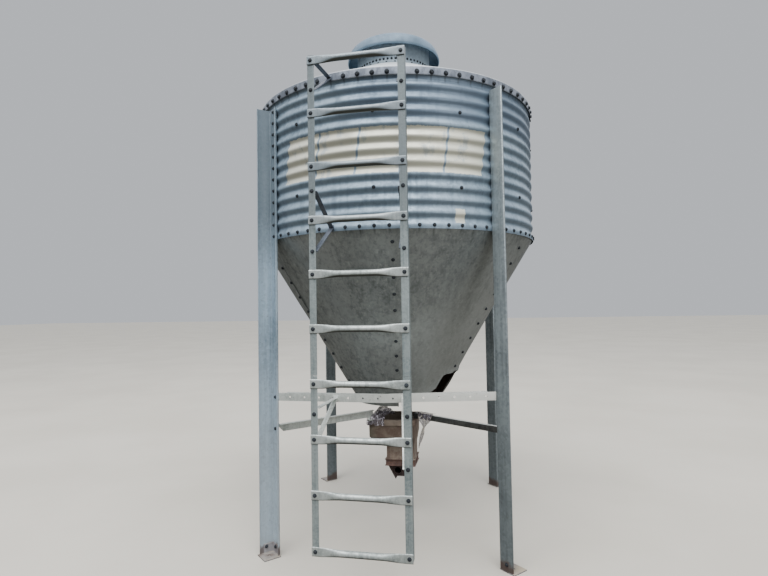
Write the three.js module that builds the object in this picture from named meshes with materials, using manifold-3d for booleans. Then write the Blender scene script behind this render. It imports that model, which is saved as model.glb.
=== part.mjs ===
// Grain silo: one corrugated ring on four angle legs, a cone roof with a hinged fill lid,
// a bolted hopper with a torn corner, a ladder, and a rusty boot slung below the hopper.
// Millimetres, +Z up, ground at z = 0, ladder side towards -Y.
// Azimuths are in degrees round the tank, from -Y towards +X.
import * as THREE from 'three';
import Module from 'manifold-3d';
import { mergeVertices } from 'three/addons/utils/BufferGeometryUtils.js';

const wasm = await Module();
wasm.setup();

// Driving dimensions
const GAP = 0.3; // left between two faces that touch
const SHEET = 2; // wall, hopper and roof sheets
const BOLT_STEP = 5; // azimuth between two columns of ring bolts
const SEAM_AZIMUTH = 7.5; // the hopper seam beside the ladder
const LEG_AZIMUTH = 47.5; // bolt line of the right front leg

const CREST_R = 912; // outside of the wall on the crest of a corrugation
const CORRUGATION_DEPTH = 13;
const CORRUGATION_PITCH = 67.73;
const CORRUGATIONS = 12;
const CREST_FLAT = 8; // half height of the flat crest along the top and bottom bolts
const WALL_EDGE_BELOW = 19; // wall sheet below its lowest bolts
const WALL_EDGE_ABOVE = 15;
const JOINT_Z = 1840; // bolts that join the wall and the hopper
const EAVE_Z = JOINT_Z + CORRUGATIONS * CORRUGATION_PITCH;

const HOPPER_SLOPE = 58.9;
const HOPPER_BEND_BELOW = 4; // where the hopper's collar turns into its cone, below the bolts
const HOPPER_FLANGE_ABOVE = 7.5;
const OUTLET_R = 274;

const ROOF_SLOPE = 27;
const ROOF_LIP_BELOW = 18; // the roof's turned-down lip, below and above the eave bolts
const ROOF_LIP_ABOVE = 29;

const COLLAR_R = 250;
const COLLAR_FLANGE = 35;
const LID_THICKNESS = 3;
const LID_RIM_Z = 3112;
const LID_PROFILE = [ // radius and height above the rim, outside
  [320, 0], [316, 30], [305, 58], [280, 85], [240, 105], [180, 125], [100, 140], [0, 146],
];
const HINGE_Y = 345; // lid hinge axis, from the tank's axis
const HINGE_ABOVE_RIM = 8;
const HINGE_PIN_R = 6;
const HINGE_BORE_R = 6.4;

const LEG_FLANGE = 89;
const LEG_THICKNESS = 3.2;
const LEG_TOP = 2602;
const FOOT_SIZE = 100;
const FOOT_THICKNESS = 6;
const FOOT_TAB_WIDTH = 60;
const FOOT_TAB_HEIGHT = 50;
const FOOT_TAB_THICKNESS = 4;
const FOOT_HOLE_R = 9;
const FOOT_HOLE_IN = 50; // anchor hole, from both outer faces of the leg

const RAIL_FACE_Y = 1118; // front face of the ladder rails, from the tank's axis
const RAIL_HALF_SPAN = 229;
const RAIL_FACE_WIDTH = 36;
const RAIL_DEPTH = 36;
const RAIL_THICKNESS = 2.5;
const RAIL_BOTTOM = 224;
const RAIL_TOP = 2676;
const RUNGS = 10;
const RUNG_PITCH = 267.6;
const RUNG_LOWEST = 240;
const RUNG_R = 16.2;
const RUNG_FLAT_HEIGHT = 45;
const RUNG_FLAT_THICKNESS = 5;
const RUNG_TAPER = 125; // from the flat ends to the round middle

const BRACKET_AZIMUTH = 12.5; // ring bolts that carry the ladder brackets
const BRACKET_WIDTH = 25;
const BRACKET_THICKNESS = 4;
const BRACKET_TAB_HALF = 14;
const BRACKET_TRIM = 60; // more than the ends that are cut off flush

const BRACE_Z = 905; // at the left leg
const BRACE_RISE = 16; // the brace climbs this much to the right leg
const BRACE_SAG = 14; // and is bent down this much in its middle
const BRACE_HEIGHT = 46;
const BRACE_DEPTH = 30;
const BRACE_THICKNESS = 3;

const STRAP_FLANGE = 22;
const STRAP_THICKNESS = 3;
const STRAPS = [ // height, its middle at the leg and at the boot, and where it ends
  { side: 'left', height: 46, legZ: 718, bootZ: 714, innerR: 226 },
  { side: 'right', height: 34, legZ: 728, bootZ: 693, innerR: 150 },
];
const STRAP_CUT = { from: 5, to: 42, below: 8 }; // lower corner cut off at the leg
const STRAP_TAB = [-20, 25]; // on the leg, from its bolt line
const STRAP_LUG = 40;
const STRAP_FOOT = 25;

const BOOT_THICKNESS = 3;
const BOOT_RIM_TOP = 675;
const BOOT_RIM_BOTTOM = 638;
const BOOT_RIM_HALF = 157;
const BOOT_RIM_INNER = 125;
const BOOT_RIM_SHIFT = -28; // the rim stands off the tank's axis, to the left and the front
const BOOT_BODY_HALF = 146;
const BOOT_SHOULDER_Z = 560;
const BOOT_NECK_HALF = 91;
const BOOT_NECK_Z = 486;
const BOOT_NECK_X = 15; // and the neck a little to the right
const BOOT_FLANGE_HALF = 102;
const BOOT_SPLIT_Z = 398;
const TROUGH_BOX_HALF = 97;
const TROUGH_LEDGE_HALF = 102;
const TROUGH_LEDGE_Z = 356; // below it the trough's sides lean in
const TROUGH_TOP_HALF = 82;
const TROUGH_TIP_HALF = 34;
const TROUGH_TIP_Z = 270;
const TROUGH_FLOOR_Z = 288;
const SPOUT_R = 26;
const SPOUT_X = -4;
const SPOUT_Z = 322;
const SPOUT_SET_BACK = 14; // the end plate, behind the front edges of the sides

// Worked out from the above
const ROOF_LIP_R = CREST_R + GAP + SHEET;
const ROOF_LIP_TOP = EAVE_Z + ROOF_LIP_ABOVE;
const LEG_FACE = CREST_R + GAP; // inner face of the legs' wall flanges
const COLLAR_FOOT_R = COLLAR_R + GAP;
const HINGE_Z = LID_RIM_Z + HINGE_ABOVE_RIM;
const RUNG_Y = RAIL_FACE_Y + GAP + RUNG_FLAT_THICKNESS / 2;
const LADDER_FRONT = RUNG_Y + RUNG_R;
const TANK_BACK = ROOF_LIP_R * Math.cos(THREE.MathUtils.degToRad(BOLT_STEP / 2));
const AXIS_Y = (LADDER_FRONT - TANK_BACK) / 2; // puts the origin under the middle of the whole

const GALVANISED = { color: 0x9aa6ad, roughness: 0.5, metalness: 0.6 };
const DULL_GALVANISED = { color: 0x6c7675, roughness: 0.65, metalness: 0.5 };
const LEG_STEEL = { color: 0x8b979c, roughness: 0.55, metalness: 0.55 };
const LADDER_STEEL = { color: 0xa9aea9, roughness: 0.5, metalness: 0.6 };
const PAINTED_LID = { color: 0x7f97a3, roughness: 0.5, metalness: 0.3 };
const RUSTY_STEEL = { color: 0x6d5447, roughness: 0.85, metalness: 0.2 };

const radians = THREE.MathUtils.degToRad;
const silo = new THREE.Group();
const tank = new THREE.Group();
tank.position.y = AXIS_Y;
silo.add(tank);

function polar(r, azimuth, z) {
  const a = radians(azimuth);
  return new THREE.Vector3(r * Math.sin(a), -r * Math.cos(a), z);
}

// A frame that faces outwards at an azimuth: x runs round the tank, -y points out
function facing(azimuth) {
  const group = new THREE.Group();
  group.rotation.z = radians(azimuth);
  tank.add(group);
  return group;
}

function put(parent, name, geometry, finish) {
  const material = new THREE.MeshStandardMaterial({ ...finish, flatShading: true, side: THREE.DoubleSide });
  const mesh = new THREE.Mesh(geometry, material);
  mesh.name = name;
  parent.add(mesh);
  return mesh;
}

// One closed geometry from a list of triangle corners, with its faces turned outwards
function closedGeometry(corners) {
  const kept = [];
  let volume = 0;
  for (let i = 0; i < corners.length; i += 3) {
    const [a, b, c] = corners.slice(i, i + 3);
    if (a.distanceTo(b) < 1e-6 || b.distanceTo(c) < 1e-6 || c.distanceTo(a) < 1e-6) continue;
    kept.push([a, b, c]);
    volume += a.dot(b.clone().cross(c));
  }
  const positions = kept.flatMap(([a, b, c]) => (volume > 0 ? [a, b, c] : [a, c, b]))
    .flatMap((p) => [p.x, p.y, p.z]);
  const geometry = new THREE.BufferGeometry();
  geometry.setAttribute('position', new THREE.Float32BufferAttribute(positions, 3));
  return mergeVertices(geometry, 1e-4);
}

// Sheet metal between two matching grids of points, one for each face.
// A grid is a list of columns; round sheets close on themselves.
function sheetMetal(outer, inner, round = false) {
  const corners = [];
  const quad = (a, b, c, d) => corners.push(a, b, c, a, c, d);
  const columns = outer.length;
  const top = outer[0].length - 1;
  const last = columns - 1;
  for (let i = 0; i < (round ? columns : last); i++) {
    const j = (i + 1) % columns;
    for (let k = 0; k < top; k++) {
      quad(outer[i][k], outer[j][k], outer[j][k + 1], outer[i][k + 1]);
      quad(inner[i][k], inner[i][k + 1], inner[j][k + 1], inner[j][k]);
    }
    quad(inner[i][0], inner[j][0], outer[j][0], outer[i][0]);
    quad(outer[i][top], outer[j][top], inner[j][top], inner[i][top]);
  }
  for (let k = 0; k < top && !round; k++) {
    quad(outer[0][k], outer[0][k + 1], inner[0][k + 1], inner[0][k]);
    quad(outer[last][k + 1], outer[last][k], inner[last][k], inner[last][k + 1]);
  }
  return closedGeometry(corners);
}

// Columns of an arc, with its two ends drawn back by half of GAP at the given radius
function arcColumns(from, to, r, step = BOLT_STEP) {
  const trim = THREE.MathUtils.radToDeg(GAP / 2 / r);
  const columns = [from + trim];
  for (let azimuth = from + step; azimuth < to - step / 2; azimuth += step) columns.push(azimuth);
  columns.push(to - trim);
  return columns;
}

function spun(profile, azimuths) {
  return azimuths.map((azimuth) => profile.map(([r, z]) => polar(r, azimuth, z)));
}

function box(x0, x1, y0, y1, z0, z1) {
  return new THREE.BoxGeometry(x1 - x0, y1 - y0, z1 - z0)
    .translate((x0 + x1) / 2, (y0 + y1) / 2, (z0 + z1) / 2);
}

// The frame of a bar from p to q: x runs along it from p, y is level, z is square to both
function alongBar(p, q) {
  const along = q.clone().sub(p).normalize();
  const level = new THREE.Vector3(-along.y, along.x, 0).normalize();
  return new THREE.Matrix4().makeBasis(along, level, along.clone().cross(level)).setPosition(p);
}

function toSolid(geometry) {
  const bare = geometry.clone();
  bare.deleteAttribute('normal');
  bare.deleteAttribute('uv');
  const merged = mergeVertices(bare, 1e-4);
  return new wasm.Manifold(new wasm.Mesh({
    numProp: 3,
    vertProperties: new Float32Array(merged.attributes.position.array),
    triVerts: new Uint32Array(merged.index.array),
  }));
}

function fromSolid(solid) {
  const mesh = solid.getMesh();
  const geometry = new THREE.BufferGeometry();
  geometry.setAttribute('position', new THREE.BufferAttribute(new Float32Array(mesh.vertProperties), 3));
  geometry.setIndex(new THREE.BufferAttribute(new Uint32Array(mesh.triVerts), 1));
  return geometry;
}

function joined(geometries) {
  return geometries.map(toSolid).reduce((whole, solid) => whole.add(solid));
}

function angleBar(shapePoints, length) {
  const shape = new THREE.Shape(shapePoints.map(([x, y]) => new THREE.Vector2(x, y)));
  return new THREE.ExtrudeGeometry(shape, { depth: length, bevelEnabled: false });
}

// Wall: a ring of four corrugated sheets, butted behind the legs
function wallProfile(inset) {
  const r = CREST_R - inset;
  const profile = [[r, JOINT_Z - WALL_EDGE_BELOW], [r, JOINT_Z + CREST_FLAT]];
  for (let k = 1; k < 2 * CORRUGATIONS; k++) {
    const valley = k % 2 === 1;
    profile.push([valley ? r - CORRUGATION_DEPTH : r, JOINT_Z + k * CORRUGATION_PITCH / 2]);
  }
  profile.push([r, EAVE_Z - CREST_FLAT], [r, EAVE_Z + WALL_EDGE_ABOVE]);
  return profile;
}

function buildWall() {
  ['left', 'front', 'right', 'back'].forEach((side, i) => {
    const from = LEG_AZIMUTH - 180 + 90 * i;
    const azimuths = arcColumns(from, from + 90, CREST_R);
    const sheet = sheetMetal(spun(wallProfile(0), azimuths), spun(wallProfile(SHEET), azimuths));
    put(tank, `wall_sheet_${side}`, sheet, GALVANISED);
  });
}

// Hopper: six cone panels with a collar inside the wall's bottom edge.
// The panel right of the ladder and its neighbour are torn away below this line.
const TORN_EDGE = [ // azimuth and height
  [7.5, 800], [12, 826], [17.5, 832], [25, 848], [32.5, 856], [37, 862], [43, 867], [47.5, 874],
  [51, 892], [52.5, 940], [54.5, 972], [60.5, 979], [67.5, 982], [73, 992], [82.5, 990], [90, 980],
  [94.5, 962], [97.5, 930], [99.5, 890], [101, 845], [102.5, 800],
];
const hopperBendR = CREST_R - SHEET - GAP;
const hopperBendZ = JOINT_Z - HOPPER_BEND_BELOW;
const hopperFall = Math.tan(radians(HOPPER_SLOPE));
const outletZ = hopperBendZ - (hopperBendR - OUTLET_R) * hopperFall;

function hopperEdge(azimuth) {
  const first = TORN_EDGE[0][0];
  const last = TORN_EDGE[TORN_EDGE.length - 1][0];
  if (azimuth < first || azimuth > last) return outletZ;
  const i = Math.max(1, TORN_EDGE.findIndex(([a]) => a >= azimuth));
  const [a0, z0] = TORN_EDGE[i - 1];
  const [a1, z1] = TORN_EDGE[i];
  return z0 + (z1 - z0) * (azimuth - a0) / (a1 - a0);
}

// The tank is faceted between its columns of bolts; points between them lie on the facets
function onFacet(azimuth) {
  const offMiddle = azimuth - BOLT_STEP * Math.round(azimuth / BOLT_STEP);
  return Math.cos(radians(BOLT_STEP / 2)) / Math.cos(radians(offMiddle));
}

function hopperColumn(azimuth, inset) {
  const coneInset = inset / Math.sin(radians(HOPPER_SLOPE));
  const edge = hopperEdge(azimuth);
  const edgeR = hopperBendR - (hopperBendZ - edge) / hopperFall;
  return [
    [edgeR - coneInset, edge], [hopperBendR - coneInset, hopperBendZ],
    [hopperBendR - inset, JOINT_Z + HOPPER_FLANGE_ABOVE],
  ].map(([r, z]) => polar(r * onFacet(azimuth), azimuth, z));
}

function buildHopper() {
  const names = ['front_right', 'right', 'back_right', 'back_left', 'left', 'front_left'];
  names.forEach((name, i) => {
    const from = SEAM_AZIMUTH + 60 * i;
    const torn = TORN_EDGE.map(([a]) => a).filter((a) => a > from && a < from + 60);
    const azimuths = arcColumns(from, from + 60, OUTLET_R);
    const extra = torn.filter((a) => azimuths.every((b) => Math.abs(a - b) > 0.4));
    const columns = azimuths.concat(extra).sort((a, b) => a - b);
    const panel = sheetMetal(
      columns.map((azimuth) => hopperColumn(azimuth, 0)),
      columns.map((azimuth) => hopperColumn(azimuth, SHEET)),
    );
    put(tank, `hopper_panel_${name}`, panel, DULL_GALVANISED);
  });
}

// Roof: three cone panels with a lip turned down over the wall's top edge
function roofZ(r) {
  return ROOF_LIP_TOP + (ROOF_LIP_R - r) * Math.tan(radians(ROOF_SLOPE));
}

function buildRoof() {
  const drop = SHEET / Math.cos(radians(ROOF_SLOPE));
  const outside = [
    [ROOF_LIP_R, EAVE_Z - ROOF_LIP_BELOW], [ROOF_LIP_R, ROOF_LIP_TOP],
    [COLLAR_FOOT_R, roofZ(COLLAR_FOOT_R)],
  ];
  const inside = [
    [ROOF_LIP_R - SHEET, EAVE_Z - ROOF_LIP_BELOW], [ROOF_LIP_R - SHEET, roofZ(ROOF_LIP_R - SHEET) - drop],
    [COLLAR_FOOT_R, roofZ(COLLAR_FOOT_R) - drop],
  ];
  ['back_right', 'back_left', 'front'].forEach((side, i) => {
    const from = SEAM_AZIMUTH + 60 + 120 * i;
    const azimuths = arcColumns(from, from + 120, COLLAR_R);
    put(tank, `roof_panel_${side}`, sheetMetal(spun(outside, azimuths), spun(inside, azimuths)), GALVANISED);
  });
}

// Fill collar, its lid, and the hinge on the side away from the ladder
const ringAzimuths = [...Array(360 / BOLT_STEP).keys()].map((i) => (i + 0.5) * BOLT_STEP);
const collarTop = LID_RIM_Z + lidInside(COLLAR_R) - GAP;

function lidInside(r) {
  const inner = lidInnerProfile();
  const i = inner.findIndex(([radius]) => radius <= r);
  const [r0, z0] = inner[i - 1];
  const [r1, z1] = inner[i];
  return z0 + (z1 - z0) * (r0 - r) / (r0 - r1);
}

function lidInnerProfile() {
  return LID_PROFILE.map(([r, z], i) => {
    const [ra, za] = LID_PROFILE[Math.max(i - 1, 0)];
    const [rb, zb] = LID_PROFILE[Math.min(i + 1, LID_PROFILE.length - 1)];
    const along = Math.hypot(rb - ra, zb - za);
    if (i === 0) return [r - LID_THICKNESS, z];
    if (r === 0) return [0, z - LID_THICKNESS];
    return [r - LID_THICKNESS * (zb - za) / along, z - LID_THICKNESS * (ra - rb) / along];
  });
}

function buildCollar() {
  const flangeR = COLLAR_R + COLLAR_FLANGE;
  const outside = [
    [flangeR, roofZ(flangeR) + GAP + SHEET],
    [COLLAR_R, roofZ(COLLAR_R) + GAP + SHEET],
    [COLLAR_R, collarTop],
  ];
  const innerR = COLLAR_R - SHEET;
  const inside = [[flangeR, roofZ(flangeR) + GAP], [innerR, roofZ(innerR) + GAP], [innerR, collarTop]];
  const collar = sheetMetal(spun(outside, ringAzimuths), spun(inside, ringAzimuths), true);
  put(tank, 'fill_collar', collar, GALVANISED);
}

function pinAlongX(r, halfLength) {
  return new THREE.CylinderGeometry(r, r, 2 * halfLength, 24).rotateZ(Math.PI / 2)
    .translate(0, HINGE_Y, HINGE_Z);
}

const LUG_HALF = 22;
const EAR_INSIDE = 24;
const EAR_THICKNESS = 4;

function buildLid() {
  const lift = (profile) => profile.map(([r, z]) => [r, z + LID_RIM_Z]);
  const outside = spun(lift(LID_PROFILE), ringAzimuths);
  const dome = sheetMetal(outside, spun(lift(lidInnerProfile()), ringAzimuths), true);
  const lugStart = LID_PROFILE[0][0] - 4;
  const lug = box(-LUG_HALF, LUG_HALF, lugStart, HINGE_Y + 11, LID_RIM_Z - 1, HINGE_Z + 11);
  const lid = joined([dome, lug]).subtract(toSolid(pinAlongX(HINGE_BORE_R, LUG_HALF + 2)));
  put(tank, 'lid', fromSolid(lid), PAINTED_LID);
}

function buildHinge() {
  const face = COLLAR_R * Math.cos(radians(BOLT_STEP / 2)) + GAP;
  const low = LID_RIM_Z - 67;
  const high = LID_RIM_Z - 12; // clear below the lid's rim
  const tip = HINGE_Y + 16;
  const outline = [
    [face, low], [face + 14, low], [tip, high - 10], [tip, HINGE_Z + 12], [HINGE_Y - 12, HINGE_Z + 12],
    [HINGE_Y - 12, high], [face, high],
  ];
  const ear = (x) => angleBar(outline, EAR_THICKNESS)
    .applyMatrix4(new THREE.Matrix4().makeBasis(
      new THREE.Vector3(0, 1, 0), new THREE.Vector3(0, 0, 1), new THREE.Vector3(1, 0, 0),
    )).translate(x, 0, 0);
  const reach = EAR_INSIDE + EAR_THICKNESS;
  const back = box(-40, 40, face, face + 4, low, high);
  const hinge = joined([back, ear(EAR_INSIDE), ear(-reach), pinAlongX(HINGE_PIN_R, reach + 3)]);
  put(tank, 'lid_hinge_bracket', fromSolid(hinge), LEG_STEEL);
}

// Legs and feet: an angle on end, one flange bolted to the wall and one standing out from it
const CORNERS = {
  front_right: LEG_AZIMUTH,
  back_right: LEG_AZIMUTH + 90,
  back_left: LEG_AZIMUTH + 180,
  front_left: LEG_AZIMUTH - 90,
};

function buildLegs() {
  const fold = -LEG_FLANGE / 2;
  const out = -LEG_FACE;
  const footTop = FOOT_THICKNESS;
  for (const [corner, azimuth] of Object.entries(CORNERS)) {
    const frame = facing(azimuth);
    const leg = angleBar([
      [fold, out], [fold, out - LEG_FLANGE], [fold + LEG_THICKNESS, out - LEG_FLANGE],
      [fold + LEG_THICKNESS, out - LEG_THICKNESS], [-fold, out - LEG_THICKNESS], [-fold, out],
    ], LEG_TOP - footTop - GAP).translate(0, 0, footTop + GAP);
    put(frame, `leg_${corner}`, leg, LEG_STEEL);

    const inX = fold + LEG_THICKNESS + GAP;
    const inY = out - LEG_THICKNESS - GAP;
    const tabTop = footTop + FOOT_TAB_HEIGHT;
    const hole = new THREE.CylinderGeometry(FOOT_HOLE_R, FOOT_HOLE_R, 3 * footTop, 24)
      .rotateX(Math.PI / 2).translate(fold + FOOT_HOLE_IN, out - FOOT_HOLE_IN, 0);
    const foot = joined([
      box(fold, fold + FOOT_SIZE, out - FOOT_SIZE, out, 0, footTop),
      box(inX, inX + FOOT_TAB_THICKNESS, inY - FOOT_TAB_WIDTH, inY, footTop - 1, tabTop),
      box(inX, inX + FOOT_TAB_WIDTH, inY - FOOT_TAB_THICKNESS, inY, footTop - 1, tabTop),
    ]).subtract(toSolid(hole));
    put(frame, `foot_${corner}`, fromSolid(foot), RUSTY_STEEL);
  }
}

// Ladder: two angle rails, and tube rungs with flattened ends bolted on their faces
function buildRail(side, name) {
  const half = RAIL_FACE_WIDTH / 2;
  const face = -RAIL_FACE_Y;
  const outline = [
    [-half, face], [half, face], [half, face + RAIL_DEPTH], [half - RAIL_THICKNESS, face + RAIL_DEPTH],
    [half - RAIL_THICKNESS, face + RAIL_THICKNESS], [-half, face + RAIL_THICKNESS],
  ].map(([x, y]) => [side * (x + RAIL_HALF_SPAN), y]);
  const rail = angleBar(outline, RAIL_TOP - RAIL_BOTTOM).translate(0, 0, RAIL_BOTTOM);
  put(tank, name, rail, LADDER_STEEL);
}

// Section of a rung, from flattened at 0 to round at 1
function rungSection(x, z, roundness) {
  const points = [];
  for (let i = 0; i < 12; i++) {
    const t = i * Math.PI / 6;
    const flatY = THREE.MathUtils.clamp(1.6 * Math.cos(t), -1, 1) * RUNG_FLAT_THICKNESS / 2;
    const flatZ = Math.sin(t) * RUNG_FLAT_HEIGHT / 2;
    points.push(new THREE.Vector3(
      x,
      -RUNG_Y + THREE.MathUtils.lerp(flatY, Math.cos(t) * RUNG_R, roundness),
      z + THREE.MathUtils.lerp(flatZ, Math.sin(t) * RUNG_R, roundness),
    ));
  }
  return points;
}

function buildRung(number) {
  const z = RUNG_LOWEST + (RUNGS - number) * RUNG_PITCH;
  const end = RAIL_HALF_SPAN + RAIL_FACE_WIDTH / 2;
  const inner = RAIL_HALF_SPAN - RAIL_FACE_WIDTH / 2;
  const stations = [[end, 0], [inner, 0], [inner - RUNG_TAPER / 2, 0.5], [inner - RUNG_TAPER, 1]];
  const all = stations.map(([x, s]) => [-x, s]).concat([...stations].reverse());
  const sections = all.map(([x, s]) => rungSection(x, z, s));
  const corners = [];
  for (let i = 0; i < sections.length - 1; i++) {
    for (let k = 0; k < 12; k++) {
      const m = (k + 1) % 12;
      const [a, b, c, d] = [sections[i][k], sections[i][m], sections[i + 1][m], sections[i + 1][k]];
      corners.push(a, b, c, a, c, d);
    }
  }
  for (let k = 1; k < 11; k++) {
    const [first, lastOne] = [sections[0], sections[sections.length - 1]];
    corners.push(first[0], first[k + 1], first[k], lastOne[0], lastOne[k], lastOne[k + 1]);
  }
  put(tank, `rung_${number}`, closedGeometry(corners), LADDER_STEEL);
}

// Front brace between the two front legs, an angle with its ends turned along the legs
const braceFace = LEG_FACE - GAP - BRACE_THICKNESS / 2;
const BRACE_TAB = 57;
const BRACE_TURN = 40; // where the brace leaves the leg, from the leg's bolt line
const BRACE_LEDGE_INSET = 45;

function legPoint(azimuth, x, y, z) {
  return new THREE.Vector3(x, y, z).applyAxisAngle(new THREE.Vector3(0, 0, 1), radians(azimuth));
}

const braceLeft = legPoint(CORNERS.front_left, BRACE_TURN, -braceFace, BRACE_Z);
const braceRight = legPoint(CORNERS.front_right, -BRACE_TURN, -braceFace, BRACE_Z + BRACE_RISE);

// How far the brace hangs below its straight line, at a share of its length
function braceDrop(share) {
  return BRACE_SAG * (1 - Math.abs(2 * share - 1));
}

// A box along the brace, bent down in its middle
function bentBox(x0, x1, y0, y1, z0, z1, length) {
  const bar = new THREE.BoxGeometry(x1 - x0, y1 - y0, z1 - z0, 2, 1, 1)
    .translate((x0 + x1) / 2, (y0 + y1) / 2, (z0 + z1) / 2);
  const points = bar.getAttribute('position');
  for (let i = 0; i < points.count; i++) {
    points.setZ(i, points.getZ(i) - braceDrop(points.getX(i) / length));
  }
  return bar;
}

function buildBrace() {
  const half = BRACE_THICKNESS / 2;
  const top = BRACE_HEIGHT / 2;
  const length = braceRight.distanceTo(braceLeft);
  const frame = alongBar(braceLeft, braceRight);
  const [ledgeFrom, ledgeTo] = [BRACE_LEDGE_INSET, length - BRACE_LEDGE_INSET];
  const turned = (azimuth, x0, x1, z) => box(x0, x1, -braceFace - half, -braceFace + half, z - top, z + top)
    .rotateZ(radians(azimuth));
  const brace = joined([
    bentBox(0, length, -half, half, -top, top, length).applyMatrix4(frame),
    bentBox(ledgeFrom, ledgeTo, -half, BRACE_DEPTH - half, top - BRACE_THICKNESS, top, length)
      .applyMatrix4(frame),
    turned(CORNERS.front_left, BRACE_TURN + 2 - BRACE_TAB, BRACE_TURN + 2, braceLeft.z),
    turned(CORNERS.front_right, -BRACE_TURN - 2, -BRACE_TURN - 2 + BRACE_TAB, braceRight.z),
  ]);
  put(tank, 'front_brace', fromSolid(brace), LADDER_STEEL);
}

// Ladder brackets: two flat bars from a bolt on the tank to two bolts on a rail, with their ends
// turned flat against both and cut off flush with the faces they are bolted to.
// An arm starts at the bolt on the rail, or further along its tab.
function buildBracket(side, name, apex, apexTab, behindApex, railEnds) {
  const tabFront = -(RAIL_FACE_Y - RAIL_THICKNESS - GAP);
  const tabX = side * (RAIL_HALF_SPAN - 3);
  const half = BRACKET_THICKNESS / 2;
  const pieces = [apexTab];
  for (const { bolt, start = bolt } of railEnds) {
    const from = new THREE.Vector3(side * (RAIL_HALF_SPAN - 14), tabFront + half, start);
    const arm = box(0, apex.distanceTo(from), -BRACKET_WIDTH / 2, BRACKET_WIDTH / 2, -half, half);
    pieces.push(arm.applyMatrix4(alongBar(from, apex)));
    const tabTop = Math.max(bolt + BRACKET_TAB_HALF, start);
    pieces.push(box(
      tabX - BRACKET_TAB_HALF, tabX + BRACKET_TAB_HALF, tabFront, tabFront + BRACKET_THICKNESS,
      bolt - BRACKET_TAB_HALF, tabTop,
    ));
  }
  const inFront = box(tabX - 100, tabX + 100, tabFront - 50, tabFront, 0, LEG_TOP + 200);
  const bracket = joined(pieces).subtract(toSolid(inFront)).subtract(toSolid(behindApex));
  put(tank, name, fromSolid(bracket), LADDER_STEEL);
}

function buildBrackets() {
  const [thick, wide, trim] = [BRACKET_THICKNESS, BRACKET_TAB_HALF, BRACKET_TRIM];
  for (const [side, word] of [[-1, 'left'], [1, 'right']]) {
    const azimuth = side * BRACKET_AZIMUTH;
    for (const [level, face, z, height, railEnds] of [
      ['top', ROOF_LIP_R + GAP, EAVE_Z, 34, [{ bolt: 2500 }, { bolt: 2648.8 }]],
      ['middle', CREST_R + GAP, JOINT_Z, 30, [{ bolt: 1692 }, { bolt: 1992.5 }]],
    ]) {
      const tab = box(-wide, wide, -face - thick, -face, z - height / 2, z + height / 2)
        .rotateZ(radians(azimuth));
      const behind = box(-trim, trim, -face, trim - face, z - trim, z + trim).rotateZ(radians(azimuth));
      const apex = polar(face + thick / 2, azimuth, z);
      buildBracket(side, `ladder_bracket_${level}_${word}`, apex, tab, behind, railEnds);
    }
  }
  buildLowBracket(-1, 'left', -248, [{ bolt: 775.6 }, { bolt: 896, start: 925 }]);
  buildLowBracket(1, 'right', 140, [{ bolt: 649 }, { bolt: 896 }]);
}

// A bracket whose bolt is on the front brace, at x
function buildLowBracket(side, word, x, railEnds) {
  const [thick, wide, trim] = [BRACKET_THICKNESS, BRACKET_TAB_HALF, BRACKET_TRIM];
  const t = (x - braceLeft.x) / (braceRight.x - braceLeft.x);
  const seat = braceLeft.clone().lerp(braceRight, t);
  seat.z -= braceDrop(t);
  const frame = alongBar(braceLeft, braceRight).setPosition(seat);
  const face = -BRACE_THICKNESS / 2 - GAP;
  const tab = box(-wide, wide, face - thick, face, -wide, wide).applyMatrix4(frame);
  const behind = box(-trim, trim, face, trim, -trim, trim).applyMatrix4(frame);
  const apex = new THREE.Vector3(0, face - thick / 2, 0).applyMatrix4(frame);
  buildBracket(side, `ladder_bracket_low_${word}`, apex, tab, behind, railEnds);
}

// Two angle straps that slope from the front legs down to the corners of the boot's rim.
// Each ends in a lug with a foot that is bolted down on the rim.
function buildStraps() {
  const out = -(LEG_FACE - GAP);
  const thick = STRAP_THICKNESS;
  for (const { side, height, legZ, bootZ, innerR } of STRAPS) {
    const half = height / 2;
    const outer = new THREE.Vector3(2, out + 2, legZ);
    const inner = new THREE.Vector3(2, -innerR, bootZ);
    const frame = alongBar(outer, inner);
    const length = outer.distanceTo(inner);
    const footBottom = BOOT_RIM_TOP + GAP;
    const corner = [
      [STRAP_CUT.from, half - STRAP_CUT.below], [STRAP_CUT.from, -half - 1], [STRAP_CUT.to, -half - 1],
    ];
    const cut = angleBar(corner, 3 * thick).rotateX(Math.PI / 2).translate(0, thick, 0)
      .applyMatrix4(frame);
    const strap = joined([
      box(...STRAP_TAB, out, out + thick, legZ - half, legZ + half),
      box(0, length, -thick, 0, -half, half).applyMatrix4(frame),
      box(12, length, -STRAP_FLANGE, 0, half - thick, half).applyMatrix4(frame),
      box(2, 2 + thick, -innerR - STRAP_LUG, -innerR, footBottom, bootZ),
      box(2, 2 + STRAP_FOOT, -innerR - STRAP_LUG, -innerR, footBottom, footBottom + thick),
    ]).subtract(toSolid(cut));
    put(facing(CORNERS[`front_${side}`]), `boot_strap_${side}`, fromSolid(strap), LADDER_STEEL);
  }
}

// Boot: a square rim and tapering body over a trough with leaning sides and a round mouth
const RIM = [BOOT_RIM_SHIFT, BOOT_RIM_SHIFT];
const NECK = [BOOT_NECK_X, 0];

function squareRows(rows) {
  const corners = [[-1, -1], [1, -1], [1, 1], [-1, 1]];
  return corners.map(([sx, sy]) => (
    rows.map(([z, half, [x, y]]) => new THREE.Vector3(x + sx * half, y + sy * half, z))
  ));
}

function squareBox(half, z0, z1, [x, y]) {
  return box(x - half, x + half, y - half, y + half, z0, z1);
}

function squareRing(half, hole, z0, z1, centre) {
  return toSolid(squareBox(half, z0, z1, centre)).subtract(toSolid(squareBox(hole, z0 - 1, z1 + 1, centre)));
}

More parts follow.
